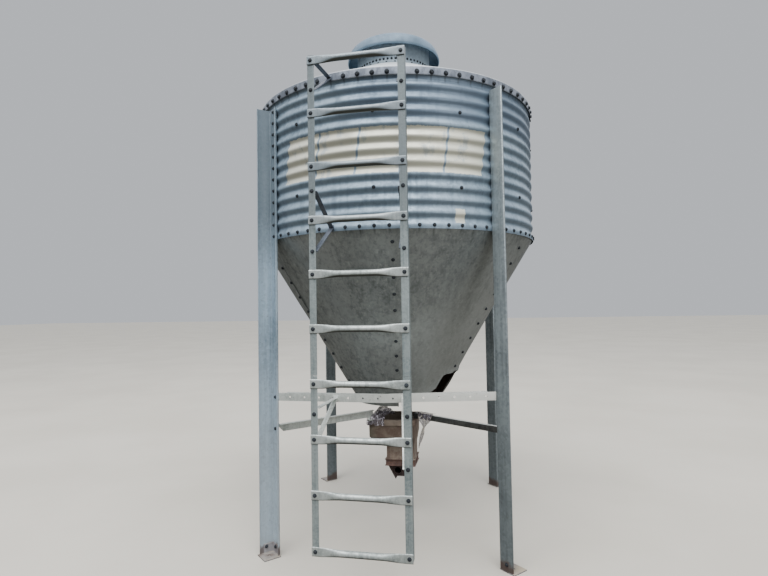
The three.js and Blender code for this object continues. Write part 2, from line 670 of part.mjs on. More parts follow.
function buildBoot() {
  const t = BOOT_THICKNESS;
  const rows = (inset) => squareRows([
    [BOOT_RIM_TOP - 2, BOOT_BODY_HALF + 2 - inset, RIM], [BOOT_SHOULDER_Z, BOOT_BODY_HALF - inset, RIM],
    [BOOT_NECK_Z, BOOT_NECK_HALF - inset, NECK], [BOOT_SPLIT_Z, BOOT_NECK_HALF - inset, NECK],
  ]);
  const body = toSolid(sheetMetal(rows(0), rows(t), true))
    .add(squareRing(BOOT_RIM_HALF, BOOT_RIM_INNER, BOOT_RIM_TOP - t, BOOT_RIM_TOP, RIM))
    .add(squareRing(BOOT_RIM_HALF, BOOT_RIM_HALF - t, BOOT_RIM_BOTTOM, BOOT_RIM_TOP, RIM))
    .add(squareRing(BOOT_FLANGE_HALF, BOOT_NECK_HALF - t, BOOT_SPLIT_Z, BOOT_SPLIT_Z + t, NECK));
  put(tank, 'boot_hopper', fromSolid(body), RUSTY_STEEL);
}

// The trough's outline across, from a height down to the tips of its leaning sides
function troughSide(from, to, shift) {
  const lean = (TROUGH_TOP_HALF - TROUGH_TIP_HALF) / (TROUGH_LEDGE_Z - TROUGH_TIP_Z);
  const half = (z) => TROUGH_TIP_HALF + (z - TROUGH_TIP_Z) * lean - shift;
  return [[half(from), from], [-half(from), from], [-half(to), to], [half(to), to]];
}

function alongY(outline, y0, y1) {
  return angleBar(outline, y1 - y0).rotateX(Math.PI / 2).translate(BOOT_NECK_X, y1, 0);
}

function buildTrough() {
  const t = BOOT_THICKNESS;
  const end = BOOT_NECK_HALF;
  const lean = t / Math.cos(Math.atan((TROUGH_TOP_HALF - TROUGH_TIP_HALF) / (TROUGH_LEDGE_Z - TROUGH_TIP_Z)));
  const top = BOOT_SPLIT_Z - GAP;
  const plateY = -end + SPOUT_SET_BACK;
  const spout = (r, y0, y1) => new THREE.CylinderGeometry(r, r, y1 - y0, 24)
    .translate(SPOUT_X, (y0 + y1) / 2, SPOUT_Z);
  const shell = toSolid(alongY(troughSide(TROUGH_LEDGE_Z + 1, TROUGH_TIP_Z, 0), -end, end))
    .subtract(toSolid(alongY(troughSide(TROUGH_LEDGE_Z + 9, TROUGH_FLOOR_Z + t, lean), -end - 1, end - t)))
    .subtract(toSolid(alongY(troughSide(TROUGH_FLOOR_Z, TROUGH_TIP_Z - 9, lean), -end - 1, end + 1)));
  const plate = toSolid(alongY(troughSide(TROUGH_LEDGE_Z + 1, TROUGH_FLOOR_Z + 1, 1), plateY, plateY + t))
    .add(toSolid(spout(SPOUT_R, plateY - 9, plateY + 20)))
    .subtract(toSolid(spout(SPOUT_R - t, plateY - 20, plateY + 40)));
  const ledge = toSolid(squareBox(TROUGH_LEDGE_HALF, TROUGH_LEDGE_Z, TROUGH_LEDGE_Z + t, NECK))
    .subtract(toSolid(box(
      BOOT_NECK_X - TROUGH_TOP_HALF + lean, BOOT_NECK_X + TROUGH_TOP_HALF - lean,
      plateY + t, end - t, TROUGH_LEDGE_Z - 9, TROUGH_LEDGE_Z + 9,
    )));
  const whole = shell.add(plate).add(ledge)
    .add(squareRing(TROUGH_BOX_HALF, TROUGH_BOX_HALF - t, TROUGH_LEDGE_Z + 1, top, NECK))
    .add(squareRing(BOOT_FLANGE_HALF, BOOT_NECK_HALF - t, top - t, top, NECK));
  put(tank, 'boot_trough', fromSolid(whole), RUSTY_STEEL);
}

buildWall();
buildHopper();
buildRoof();
buildCollar();
buildLid();
buildHinge();
buildLegs();
buildRail(-1, 'ladder_rail_left');
buildRail(1, 'ladder_rail_right');
for (let number = 1; number <= RUNGS; number++) buildRung(number);
buildBrace();
buildBrackets();
buildStraps();
buildBoot();
buildTrough();

export default silo;
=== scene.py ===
# %% [markdown]
# # A farm feed silo
#
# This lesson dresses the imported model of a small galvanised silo: a corrugated ring on four
# angle legs, with a cone roof, a torn cone hopper, a bolted ladder and a rusty boot.
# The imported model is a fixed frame. Every piece here is modelled to lie where the frame says,
# rides on one of its bodies, and stands for the plainer solid below it.

# %% Load the frame and measure it
import math
import random
from contextlib import contextmanager

import bmesh
import bpy
from mathutils import Matrix, Vector, noise


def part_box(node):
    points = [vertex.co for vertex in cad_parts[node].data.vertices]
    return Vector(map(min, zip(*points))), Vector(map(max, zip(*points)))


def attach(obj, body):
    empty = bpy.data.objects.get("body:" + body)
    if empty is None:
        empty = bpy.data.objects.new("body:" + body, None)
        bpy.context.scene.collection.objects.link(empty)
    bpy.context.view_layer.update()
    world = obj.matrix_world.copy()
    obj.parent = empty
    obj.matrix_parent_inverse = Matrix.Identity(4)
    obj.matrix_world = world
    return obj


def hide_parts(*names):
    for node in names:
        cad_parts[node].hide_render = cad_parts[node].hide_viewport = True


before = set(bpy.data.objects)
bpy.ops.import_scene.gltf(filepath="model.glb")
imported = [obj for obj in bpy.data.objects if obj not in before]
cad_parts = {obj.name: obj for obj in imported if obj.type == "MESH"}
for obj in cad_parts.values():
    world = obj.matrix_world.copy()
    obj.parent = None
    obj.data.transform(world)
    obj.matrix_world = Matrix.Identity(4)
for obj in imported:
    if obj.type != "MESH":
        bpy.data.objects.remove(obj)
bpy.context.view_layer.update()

collar_low, collar_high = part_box("fill_collar")
wall_low, wall_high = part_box("wall_sheet_front")
roof_low, roof_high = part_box("roof_panel_front")
hopper_low, hopper_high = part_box("hopper_panel_left")
AXIS = Vector((0.0, (collar_low.y + collar_high.y) / 2, 0.0))  # the tank's upright axis
JOINT_Z = wall_low.z + 0.019  # the ring of bolts between wall and hopper
PITCH = 0.06773  # one corrugation
WAVES = 12
EAVE_Z = JOINT_Z + WAVES * PITCH  # the ring of bolts between wall and roof
CREST_R = 0.912
FIRST_BOLT, BOLT_STEP = 2.5, 5.0  # azimuths of the ring bolts, in degrees
SEAM_AZIMUTH = 7.5  # the hopper seam beside the ladder
print("axis", tuple(AXIS), "joint", round(JOINT_Z, 4), "eave", round(EAVE_Z, 4))

# %% [markdown]
# ## The camera
#
# The photograph was taken by hand at eye height, and close, with a wide lens that makes the
# tank loom over the legs. The camera comes first, so that every later piece can be checked in
# its view. It was worked out from the ring bolts, the corrugations and the rungs.

# %% Make the camera
EYE = Vector((0.6162, AXIS.y - 3.5677, 1.4079))
YAW = math.radians(11.27)  # turned left of straight ahead
PITCH_UP = math.radians(2.19)
ROLL = math.radians(-0.93)
FOCAL_PIXELS = 522.92
IMAGE_WIDTH = 768
SENSOR_WIDTH = 36.0

bpy.ops.object.camera_add(location=EYE)
camera = bpy.context.object
camera.name = "photo_camera"
level_right = Vector((math.cos(YAW), math.sin(YAW), 0.0))
ahead = Vector((-math.sin(YAW) * math.cos(PITCH_UP), math.cos(YAW) * math.cos(PITCH_UP), math.sin(PITCH_UP)))
level_up = level_right.cross(ahead)
right = level_right * math.cos(ROLL) + level_up * math.sin(ROLL)
up = level_up * math.cos(ROLL) - level_right * math.sin(ROLL)
camera.matrix_world = Matrix((
    (right.x, up.x, -ahead.x, EYE.x),
    (right.y, up.y, -ahead.y, EYE.y),
    (right.z, up.z, -ahead.z, EYE.z),
    (0.0, 0.0, 0.0, 1.0),
))
camera.data.sensor_width = SENSOR_WIDTH
camera.data.lens = FOCAL_PIXELS / IMAGE_WIDTH * SENSOR_WIDTH
bpy.context.scene.camera = camera
print("lens", round(camera.data.lens, 2), "mm at height", round(EYE.z, 3), "m")

# %% [markdown]
# ## Working by hand, in code
#
# Every piece is shaped as it would be by hand: a primitive is added, some of it is selected
# in edit mode, and an operator acts on that. Places round the tank are given as a radius, an
# azimuth and a height. Azimuth 0 faces the ladder, and grows to the right as one looks at it.

# %% Helpers for selecting and editing
bpy.ops.object.select_all(action="DESELECT")


def polar(radius, azimuth, z):
    angle = math.radians(azimuth)
    return Vector((AXIS.x + radius * math.sin(angle), AXIS.y - radius * math.cos(angle), z))


def on_axis(z):
    return polar(0.0, 0.0, z)


def azimuth_of(point):
    return math.degrees(math.atan2(point.x - AXIS.x, AXIS.y - point.y))


def to_azimuth(degrees):
    """From plain coordinates about the origin to their place round the tank's axis."""
    return Matrix.Translation(AXIS) @ Matrix.Rotation(math.radians(degrees), 4, "Z")


def turned(degrees):
    """A turn about the tank's axis."""
    return to_azimuth(degrees) @ Matrix.Translation(-AXIS)


def only(*pieces):
    """Leave just these pieces selected, the first of them active."""
    bpy.ops.object.select_all(action="DESELECT")
    for piece in pieces:
        piece.select_set(True)
    bpy.context.view_layer.objects.active = pieces[0]


@contextmanager
def editing(piece, kind="VERT"):
    """Edit mode on one piece, with all of it selected."""
    only(piece)
    bpy.ops.object.mode_set(mode="EDIT")
    bpy.ops.mesh.select_mode(type=kind)
    bpy.ops.mesh.select_all(action="SELECT")
    yield bmesh.from_edit_mesh(piece.data)
    bpy.ops.object.mode_set(mode="OBJECT")


def settle(piece):
    """Put the piece's place, turn and size into its mesh."""
    only(piece)
    bpy.ops.object.transform_apply(location=True, rotation=True, scale=True)
    return piece


def finish_with(piece, kind, **settings):
    """Add a modifier and apply it."""
    only(piece)
    modifier = piece.modifiers.new(kind.lower(), kind)
    for name, value in settings.items():
        setattr(modifier, name, value)
    bpy.ops.object.modifier_apply(modifier=modifier.name)
    return piece


def shade(piece, angle=40.0):
    only(piece)
    bpy.ops.object.shade_smooth_by_angle(angle=math.radians(angle))
    return piece


def own_copy(piece, matrix=None):
    """A copy with its own mesh, moved by a matrix that goes into the mesh."""
    copied = piece.copy()
    copied.data = piece.data.copy()
    bpy.context.collection.objects.link(copied)
    if matrix is not None:
        copied.data.transform(matrix)
    return copied


def copies_round(piece, step, count):
    """The piece and its copies round the tank, each turned a step further."""
    return [piece] + [own_copy(piece, turned(step * i)) for i in range(1, count)]


def weld(*pieces):
    """Join pieces into the first of them."""
    only(*pieces)
    bpy.ops.object.join()
    return pieces[0]


print("helpers are ready")

# %% [markdown]
# ## Sheet metal from a profile
#
# Wall, hopper, roof, collar and lid are all sheet rolled round one axis. Each is a profile,
# drawn by extruding one vertex from point to point, and then spun round the axis by its own
# share of the circle. Solidify thickens it inwards, so that its outside stays in the frame.

# %% Draw a profile and spin it
SHEET = 0.0016
PROUD = SHEET + 0.0004  # how far a lapped edge stands off the sheet below it


def extrude(step):
    bpy.ops.mesh.extrude_region_move(TRANSFORM_OT_translate={"value": step})


def even_normals():
    bpy.ops.mesh.normals_make_consistent(inside=False)


def trace(points):
    """An open line through the points, drawn by extruding its last vertex."""
    bpy.ops.mesh.primitive_plane_add(size=0.001, location=points[0])
    line = bpy.context.object
    with editing(line):
        bpy.ops.mesh.merge(type="CENTER")
        for start, end in zip(points, points[1:]):
            extrude(Vector(end) - Vector(start))
    return settle(line)


def spin_sheet(profile, start, degrees, steps, inside_z):
    """Spin a list of (radius, height) round the tank's axis, from an azimuth, facing outwards."""
    sheet = trace([polar(r, start, z) for r, z in profile])
    with editing(sheet):
        bpy.ops.mesh.spin(steps=steps, angle=math.radians(degrees), center=AXIS, axis=(0, 0, -1))
        bpy.ops.mesh.select_all(action="SELECT")
        bpy.ops.mesh.remove_doubles(threshold=0.00005)
        even_normals()
    inside = on_axis(inside_z)
    if sum((face.center - inside).dot(face.normal) * face.area for face in sheet.data.polygons) < 0:
        with editing(sheet):
            bpy.ops.mesh.flip_normals()
    return sheet


def thicken(sheet, thickness=SHEET):
    return finish_with(sheet, "SOLIDIFY", thickness=thickness, offset=-1.0, use_quality_normals=True)


print("profiles are ready")

# %% [markdown]
# ## Materials
#
# Nearly everything is weathered zinc. Its coat freezes in flat crystals, the spangle, and then
# greys in patches and runs with dirt. Each finish is mixed from a few patterns on Object
# coordinates: cells for the spangle, soft noise for the patches, and noise drawn out upright
# for the runs. Patterns are added and multiplied like numbers, and become math nodes.

# %% Helpers for shader nodes
UP, DOWN = (0.0, 0.0, 1.0), (0.0, 0.0, -1.0)


def tint(red, green, blue):
    """A colour given as it looks on screen, 0 to 255, made linear."""
    shares = [channel / 255 for channel in (red, green, blue)]
    linear = [share / 12.92 if share <= 0.04045 else ((share + 0.055) / 1.055) ** 2.4 for share in shares]
    return (*linear, 1.0)


def plug(socket, value):
    """Give a socket a plain value, or what another node puts out."""
    if isinstance(value, Pattern):
        value = value.socket
    if isinstance(value, bpy.types.NodeSocket):
        socket.id_data.links.new(value, socket)
    else:
        socket.default_value = value


def node(tree, kind, settings=None, **sockets):
    made = tree.nodes.new(kind)
    for name, value in (settings or {}).items():
        setattr(made, name, value)
    for name, value in sockets.items():
        plug(made.inputs[name.replace("_", " ")], value)
    return made


def maths(operation, *values, clamp=False):
    """A math node on patterns and numbers."""
    tree = next(value.tree for value in values if isinstance(value, Pattern))
    made = node(tree, "ShaderNodeMath", {"operation": operation, "use_clamp": clamp})
    for socket, value in zip(made.inputs, values):
        plug(socket, value)
    return Pattern(made.outputs[0])


class Pattern:
    """What a node puts out. Sums written with it become math nodes."""

    def __init__(self, socket):
        self.socket = socket
        self.tree = socket.id_data

    def __add__(self, other):
        return maths("ADD", self, other)

    def __sub__(self, other):
        return maths("SUBTRACT", self, other)

    def __mul__(self, other):
        return maths("MULTIPLY", self, other)

    def __truediv__(self, other):
        return maths("DIVIDE", self, other)

    def __abs__(self):
        return maths("ABSOLUTE", self)


def mix(share, first, second):
    """From the first colour to the second, by a share."""
    made = node(share.tree, "ShaderNodeMix", {"data_type": "RGBA"})
    for index, value in ((0, share), (6, first), (7, second)):
        plug(made.inputs[index], value)
    return Pattern(made.outputs[2])


def fade(value, low, high, first=0.0, last=1.0):
    """From first to last while the value goes from low to high."""
    made = node(value.tree, "ShaderNodeMapRange", {"interpolation_type": "SMOOTHSTEP"})
    for socket, given in zip(made.inputs, (value, low, high, first, last)):
        plug(socket, given)
    return Pattern(made.outputs[0])


def place(tree, stretch=(1.0, 1.0, 1.0)):
    """Object coordinates, stretched."""
    scaled = node(tree, "ShaderNodeVectorMath", {"operation": "MULTIPLY"})
    plug(scaled.inputs[0], node(tree, "ShaderNodeTexCoord").outputs["Object"])
    plug(scaled.inputs[1], stretch)
    return scaled.outputs[0]


def coordinate(tree, axis):
    return Pattern(node(tree, "ShaderNodeSeparateXYZ", Vector=place(tree)).outputs[axis])


def axis_coordinates(tree):
    """Height, and azimuth in degrees, of a point on the tank."""
    back = maths("SUBTRACT", AXIS.y, coordinate(tree, "Y"))
    return coordinate(tree, "Z"), maths("ARCTAN2", coordinate(tree, "X"), back) * (180 / math.pi)


def facing(tree, direction):
    """1 on the faces that look along a direction."""
    made = node(tree, "ShaderNodeVectorMath", {"operation": "DOT_PRODUCT"})
    plug(made.inputs[0], node(tree, "ShaderNodeTexCoord").outputs["Normal"])
    plug(made.inputs[1], direction)
    return fade(Pattern(made.outputs["Value"]), 0.2, 0.6)


def clouds(tree, scale, stretch=(1.0, 1.0, 1.0), detail=5.0, roughness=0.55):
    made = node(tree, "ShaderNodeTexNoise", Vector=place(tree, stretch), Scale=scale,
                Detail=detail, Roughness=roughness)
    return Pattern(made.outputs["Fac"])


def spangle(tree, scale):
    """One random brightness for each crystal of zinc."""
    cells = node(tree, "ShaderNodeTexVoronoi", Vector=place(tree), Scale=scale)
    return Pattern(node(tree, "ShaderNodeSeparateColor", Color=cells.outputs["Color"]).outputs["Red"])


def finish(metallic, specular=0.5):
    """Turn a function that mixes a base colour into one that makes a named material."""
    def wrap(coat):
        def make(name, *given, **look):
            material = bpy.data.materials.new(name)
            material.use_nodes = True
            shader = material.node_tree.nodes["Principled BSDF"]
            shader.inputs["Metallic"].default_value = metallic
            shader.inputs["Specular IOR Level"].default_value = specular
            plug(shader.inputs["Base Color"], coat(material.node_tree, shader, *given, **look))
            return material
        return make
    return wrap


def bump(shader, height, strength, distance):
    made = node(shader.id_data, "ShaderNodeBump", Height=height, Strength=strength, Distance=distance)
    plug(shader.inputs["Normal"], made.outputs["Normal"])


print("shader helpers are ready")

# %% [markdown]
# ### Zinc
#
# One function mixes every zinc finish from a bright and a dull colour. What differs is how
# much it has greyed, how coarse its spangle is, and how strongly dirt has run down it.
# The metal is only half metallic to the shader, because white zinc oxide covers most of it.

# %% Zinc finishes
AGED_FROM = 1.6
RUST_DARK = tint(92, 66, 52)
RUST_ORANGE = tint(158, 98, 55)
RUST_CREEP = tint(104, 82, 72)
# dark dirt, also used as painted shadow along the roof lip's lower edge
GRIME_AND_SHADE = tint(52, 56, 56)


def zinc(tree, shader, bright, dull, crystals=70.0, patches=3.0, runs=26.0, grey=0.5, shine=(0.38, 0.6)):
    """The colour of weathered zinc, which also gets its roughness and grain."""
    cell = spangle(tree, crystals)
    patch = fade(clouds(tree, patches), 0.38, 0.66)
    run = fade(clouds(tree, runs, (1.0, 1.0, 0.05), 6.0, 0.6), 0.42, 0.68)
    worn = patch * 0.5 + run * 0.45 + (cell - 0.5) * 0.4
    worn = maths("ADD", worn, grey - 0.5, clamp=True)
    plug(shader.inputs["Roughness"], fade(worn, 0.0, 1.0, *shine))
    bump(shader, cell * 0.3 + clouds(tree, 240.0, detail=3.0), 0.12, 0.0006)
    return mix(worn, bright, dull)


@finish(0.45)
def strip_zinc(tree, shader, bright, dull, rust_height=0.0, lit_top=None, shaded_underside=None, light_from_right=None, aged=None,
               lighting_low_down=None, **look):
    """Zinc angle or strip: a painted highlight on faces that look up, painted shade on faces that
    look down, painted light towards the right, aged high up, a painted tone of light and shade low down, and
    rusty at the foot."""
    base = zinc(tree, shader, bright, dull, **look)
    height = coordinate(tree, "Z")
    # painted light: lighter towards the right, as if lit from that side
    if light_from_right:
        base = mix(fade(coordinate(tree, "X"), -0.4, 0.4, 0.0, 0.8), base, light_from_right)
    if aged:
        base = mix(fade(height, AGED_FROM, AGED_FROM + 0.45, 0.0, 0.7), base, aged)
    # painted light low down, where the floor throws light up: lighter on the lit leg, and painted shade on
    # the shaded legs
    if lighting_low_down:
        base = mix(fade(height, 0.4, 1.4, 0.4, 0.0), base, lighting_low_down)
    # painted highlight: faces that look up are made lighter, as the sky would light them
    if lit_top:
        base = mix(facing(tree, UP), base, lit_top)
    # painted shade: faces that look down are made darker
    if shaded_underside:
        base = mix(facing(tree, DOWN), base, shaded_underside)
    speck = fade(clouds(tree, 42.0, detail=8.0, roughness=0.7), 0.63, 0.72)
    base = mix(speck * 0.55, base, RUST_DARK)
    if rust_height:
        creep = fade(height, 0.0, rust_height, 1.0, 0.0) + (clouds(tree, 18.0) - 0.75)
        base = mix(fade(creep, 0.15, 0.5, 0.0, 0.8), base, RUST_CREEP)
    return base


# leg_zinc is the lit copy and shaded_leg_zinc its copy with painted shade
leg_zinc = strip_zinc("leg_zinc", tint(184, 203, 216), tint(132, 150, 163), rust_height=0.12,
                      aged=tint(116, 128, 136), lighting_low_down=tint(230, 236, 238), runs=38.0)
shaded_leg_zinc = strip_zinc("shaded_leg_zinc", tint(160, 171, 174), tint(110, 118, 121),
                             rust_height=0.12, lighting_low_down=tint(90, 97, 97), runs=38.0)
ladder_zinc = strip_zinc("ladder_zinc", tint(198, 204, 200), tint(138, 146, 143), crystals=110.0,
                         runs=40.0, grey=0.42, shaded_underside=tint(78, 80, 75), aged=tint(118, 131, 142))
rail_zinc = strip_zinc("rail_zinc", tint(170, 180, 179), tint(116, 128, 129), crystals=110.0,
                       runs=46.0, aged=tint(112, 121, 125))
strap_zinc = strip_zinc("strap_zinc", tint(222, 227, 221), tint(168, 175, 169), crystals=110.0,
                        light_from_right=tint(250, 250, 242))
# a copy of the strap zinc with painted shade, for the upper brackets
shaded_strap_zinc = strip_zinc("shaded_strap_zinc", tint(110, 117, 128), tint(76, 82, 92), crystals=110.0)
# the right strap's zinc: painted shade all over, with a painted highlight on its top faces
dark_strap_zinc = strip_zinc("dark_strap_zinc", tint(98, 100, 98), tint(58, 60, 60), crystals=110.0,
                             lit_top=tint(226, 228, 222))
print("zinc finishes:", len(bpy.data.materials))

# %% [markdown]
# ### The wall's zinc, and its painted band
#
# Rain keeps the upper half of each corrugation clean and dust stays under it, and the slopes that
# face down also carry painted shade, so dust and painted shade follow the wave. Dark streaks hang below each
# ring bolt. Round the front runs a plain band
# of cream paint, cut by slanting gaps. It is thin, and zinc shows where it has worn through.

# %% Wall finish
BAND_LOW, BAND_HIGH = JOINT_Z + 0.278, JOINT_Z + 0.527
BAND_LEFT, BAND_RIGHT = -35.0, 41.0
BAND_BLOCK = 15.2  # degrees from one slanting gap to the next
BAND_GAP = 0.8
BAND_LEAN = 9.0  # degrees of lean for each metre of height
CREAM = tint(223, 222, 205)
SHADED_DUSTY_CREAM = tint(160, 160, 147)
PATCH_AZIMUTH, PATCH_Z = 32.0, JOINT_Z + 0.052  # what is left of a small cream patch
PATCH_HALF = (1.8, 0.038)  # degrees, metres
DULL_FROM = JOINT_Z + 0.54  # above the band, where the zinc is duller


def bolt_streaks(height, azimuth, bolt_z, length):
    """1 in the dirt that hangs below each ring bolt."""
    column = (azimuth + (360.0 + BOLT_STEP / 2 - FIRST_BOLT)) / BOLT_STEP
    off = abs(maths("FRACT", column) - 0.5)
    ragged = clouds(height.tree, 60.0, (1.0, 1.0, 0.3)) * 0.16
    below = fade(height, bolt_z - length, bolt_z - 0.3 * length)
    above = fade(height, bolt_z, bolt_z + 0.01, 1.0, 0.0)
    return fade(off - ragged, 0.02, -0.04) * below * above


def painted_band(height, azimuth):
    """1 where the cream paint is."""
    z = height + (clouds(height.tree, 55.0) - 0.5) * 0.014
    across = azimuth - (height - BAND_LOW) * BAND_LEAN - BAND_LEFT
    inside = fade(z, BAND_LOW, BAND_LOW + 0.002) * fade(z, BAND_HIGH, BAND_HIGH - 0.002)
    inside *= maths("GREATER_THAN", across, 0.0) * maths("LESS_THAN", across, BAND_RIGHT - BAND_LEFT)
    block = maths("FRACT", across / BAND_BLOCK) * BAND_BLOCK
    worn = fade(clouds(height.tree, 9.0, (1.0, 1.0, 0.6), 9.0, 0.68), 0.36, 0.46)
    return inside * maths("GREATER_THAN", block, BAND_GAP) * fade(worn, 0.0, 1.0, 0.55, 1.0)


def worn_patch(height, azimuth):
    """1 on the patch below the band."""
    aside, above = abs(azimuth - PATCH_AZIMUTH), abs(height - PATCH_Z)
    off = maths("MAXIMUM", aside / PATCH_HALF[0], above / PATCH_HALF[1])
    return fade(off + clouds(height.tree, 80.0) * 0.5, 1.2, 1.3, 0.85, 0.0)


@finish(0.4)
def wall_coat(tree, shader):
    base = zinc(tree, shader, tint(156, 176, 191), tint(116, 134, 148), crystals=60.0, grey=0.42)
    height, azimuth = axis_coordinates(tree)
    shaded_under = maths("SINE", (height - JOINT_Z) / PITCH * (-2 * math.pi))  # 1 on the slopes that face down
    # dust and painted shade on the slopes that face down
    dust_and_shade = fade(shaded_under + (clouds(tree, 5.0) - 0.5), -0.5, 1.0, 0.0, 0.6)
    base = mix(dust_and_shade, base, tint(86, 100, 112))
    dulled = fade(height, DULL_FROM, DULL_FROM + 0.05) * fade(azimuth, -16.0, 4.0)
    base = mix(dulled * 0.6, base, tint(90, 107, 127))
    # the cream is darker on the slopes that face down: dust and painted shade
    base = mix(painted_band(height, azimuth), base, mix(dust_and_shade, CREAM, SHADED_DUSTY_CREAM))
    base = mix(worn_patch(height, azimuth), base, CREAM)
    dirt = maths("MAXIMUM", bolt_streaks(height, azimuth, EAVE_Z, 0.075),
                 bolt_streaks(height, azimuth, JOINT_Z, 0.03))
    return mix(dirt * 0.38, base, GRIME_AND_SHADE)


wall_zinc = wall_coat("wall_zinc")
print("wall finish:", wall_zinc.name)

# %% [markdown]
# ### The hopper's, roof's and lid's finishes
#
# The hopper faces the ground and sheds no rain, so its zinc has gone dark and blotchy, with
# paler runs. The roof is cleaner and its lip is pale. The lid is painted a dull blue-grey.

# %% Hopper, roof and lid finishes


@finish(0.5)
def hopper_coat(tree, shader):
    base = zinc(tree, shader, tint(158, 164, 164), tint(112, 118, 118), crystals=85.0, patches=2.2, runs=34.0,
                shine=(0.34, 0.5))
    pale = fade(clouds(tree, 48.0, (1.0, 1.0, 0.06), 8.0, 0.7), 0.52, 0.74)
    base = mix(pale * 0.5, base, tint(200, 206, 203))
    green = fade(clouds(tree, 3.5), 0.6, 0.72)
    base = mix(green * 0.3, base, tint(124, 134, 126))
    height, azimuth = axis_coordinates(tree)
    # painted light: the lower right of the hopper is lighter, as if lit from the right
    hopper_light_right = fade(azimuth, 0.0, 40.0) * fade(height, JOINT_Z, JOINT_Z - 0.7, 0.0, 0.4)
    base = mix(hopper_light_right, base, tint(206, 210, 206))
    base = mix(bolt_streaks(height, azimuth, JOINT_Z, 0.06) * 0.4, base, GRIME_AND_SHADE)
    damp_and_shade = mix(fade(clouds(tree, 20.0), 0.45, 0.6), tint(120, 92, 78), tint(66, 54, 48))
    return mix(facing(tree, UP), base, damp_and_shade)  # damp inside, where feed lay


@finish(0.4)
def roof_coat(tree, shader):
    base = zinc(tree, shader, tint(222, 228, 230), tint(178, 182, 184), crystals=60.0, grey=0.35)
    height, azimuth = axis_coordinates(tree)
    lip = fade(height, EAVE_Z + 0.024, EAVE_Z + 0.03, 1.0, 0.0)
    mottled = fade(clouds(tree, 16.0, (1.0, 1.0, 0.5), 8.0, 0.7), 0.4, 0.62)
    base = mix(lip, base, mix(mottled, tint(140, 147, 158), tint(98, 105, 116)))
    # painted shadow along the lip's lower edge
    shaded_under = fade(height, EAVE_Z - 0.016, EAVE_Z - 0.01, 1.0, 0.0) * lip
    base = mix(shaded_under * 0.8, base, GRIME_AND_SHADE)
    streaks = bolt_streaks(height, azimuth, EAVE_Z + 0.012, 0.036)
    return mix(streaks * 0.6, base, GRIME_AND_SHADE)


@finish(0.4)
def collar_coat(tree, shader):
    return zinc(tree, shader, tint(190, 206, 216), tint(142, 158, 170), crystals=60.0, runs=30.0)


@finish(0.15)
def lid_coat(tree, shader):
    patch = fade(clouds(tree, 6.0, (1.0, 1.0, 0.4), 8.0, 0.65), 0.35, 0.7)
    base = mix(patch, tint(112, 135, 154), tint(87, 107, 124))
    chalk = fade(clouds(tree, 40.0, detail=8.0), 0.58, 0.72)
    plug(shader.inputs["Roughness"], fade(patch, 0.0, 1.0, 0.42, 0.62))
    bump(shader, clouds(tree, 150.0), 0.1, 0.0005)
    return mix(chalk * 0.3, base, tint(142, 158, 171))


hopper_zinc = hopper_coat("hopper_zinc")
roof_zinc = roof_coat("roof_zinc")
collar_zinc = collar_coat("collar_zinc")
lid_paint = lid_coat("lid_paint")
print("finishes so far:", len(bpy.data.materials))

# %% [markdown]
# ### Rust, and dark bolts
#
# The boot was painted once and has rusted evenly, with orange where it is newest. Bolts are
# nearly black, with a little rust, because their coating went first.

# %% Rust and bolt finishes
BROWN = tint(110, 93, 82)
PAINTED_SHADOW = tint(48, 40, 40)
SHADE_OLIVE = tint(70, 68, 54)
TROUGH_LEDGE_Z = 0.356  # below it the trough is darkened with painted shadow under the ledge


@finish(0.2)
def rusty_steel(tree, shader, old, aged, new, paint, fresh, painted, shadow_below=0.0, shaded_left=None,
                dusty=None):
    """Old rust with newer rust and what is left of its paint, by their shares from 0 to 1."""
    coarse = clouds(tree, 14.0, detail=10.0, roughness=0.68)
    fine = clouds(tree, 90.0, detail=6.0, roughness=0.6)
    runs = fade(clouds(tree, 24.0, (1.0, 1.0, 0.12), 6.0), 0.4, 0.66)
    flakes = clouds(tree, 7.0, detail=8.0)
    base = mix(fade(coarse, 0.4, 0.62), old, aged)
    base = mix(fade(flakes, 0.75 - painted, 0.85 - painted, 0.0, 0.8), base, paint)
    base = mix(runs * 0.35, base, old)
    base = mix(fade(fine, 0.8 - fresh, 0.95 - fresh, 0.0, 0.7), base, new)
    if dusty:
        base = mix(facing(tree, UP) * fade(flakes, 0.4, 0.62, 0.2, 0.75), base, dusty)
    # painted shadow: darker below the given height
    if shadow_below:
        base = mix(fade(coordinate(tree, "Z"), shadow_below - 0.01, shadow_below, 0.75, 0.0), base, PAINTED_SHADOW)
    # painted shade: darker olive towards the left
    if shaded_left:
        damp_and_shade = coordinate(tree, "X") + clouds(tree, 26.0) * 0.06
        base = mix(fade(damp_and_shade, shaded_left, shaded_left + 0.07, 0.65, 0.0), base, SHADE_OLIVE)
    plug(shader.inputs["Roughness"], fade(fine, 0.3, 0.7, 0.62, 0.92))
    bump(shader, coarse + fine, 0.3, 0.001)
    return base


boot_rust = rusty_steel("boot_rust", BROWN, tint(136, 120, 106), RUST_ORANGE, tint(144, 132, 118),
                        0.12, 0.28, shaded_left=-0.15)
trough_rust = rusty_steel("trough_rust", tint(92, 72, 66), tint(118, 92, 82), RUST_ORANGE,
                          tint(136, 114, 106), 0.2, 0.2, shadow_below=TROUGH_LEDGE_Z)
# the foot plate gets a painted shadow along its bottom edge
foot_rust = rusty_steel("foot_rust", tint(104, 92, 92), tint(132, 124, 128), RUST_ORANGE,
                        tint(146, 146, 148), 0.12, 0.4, shadow_below=0.006, dusty=tint(176, 162, 136))
bolt_dark = rusty_steel("bolt_dark", tint(40, 44, 50), tint(52, 57, 62), tint(70, 64, 60),
                        tint(62, 68, 74), 0.1, 0.2)
print("finishes:", len(bpy.data.materials))

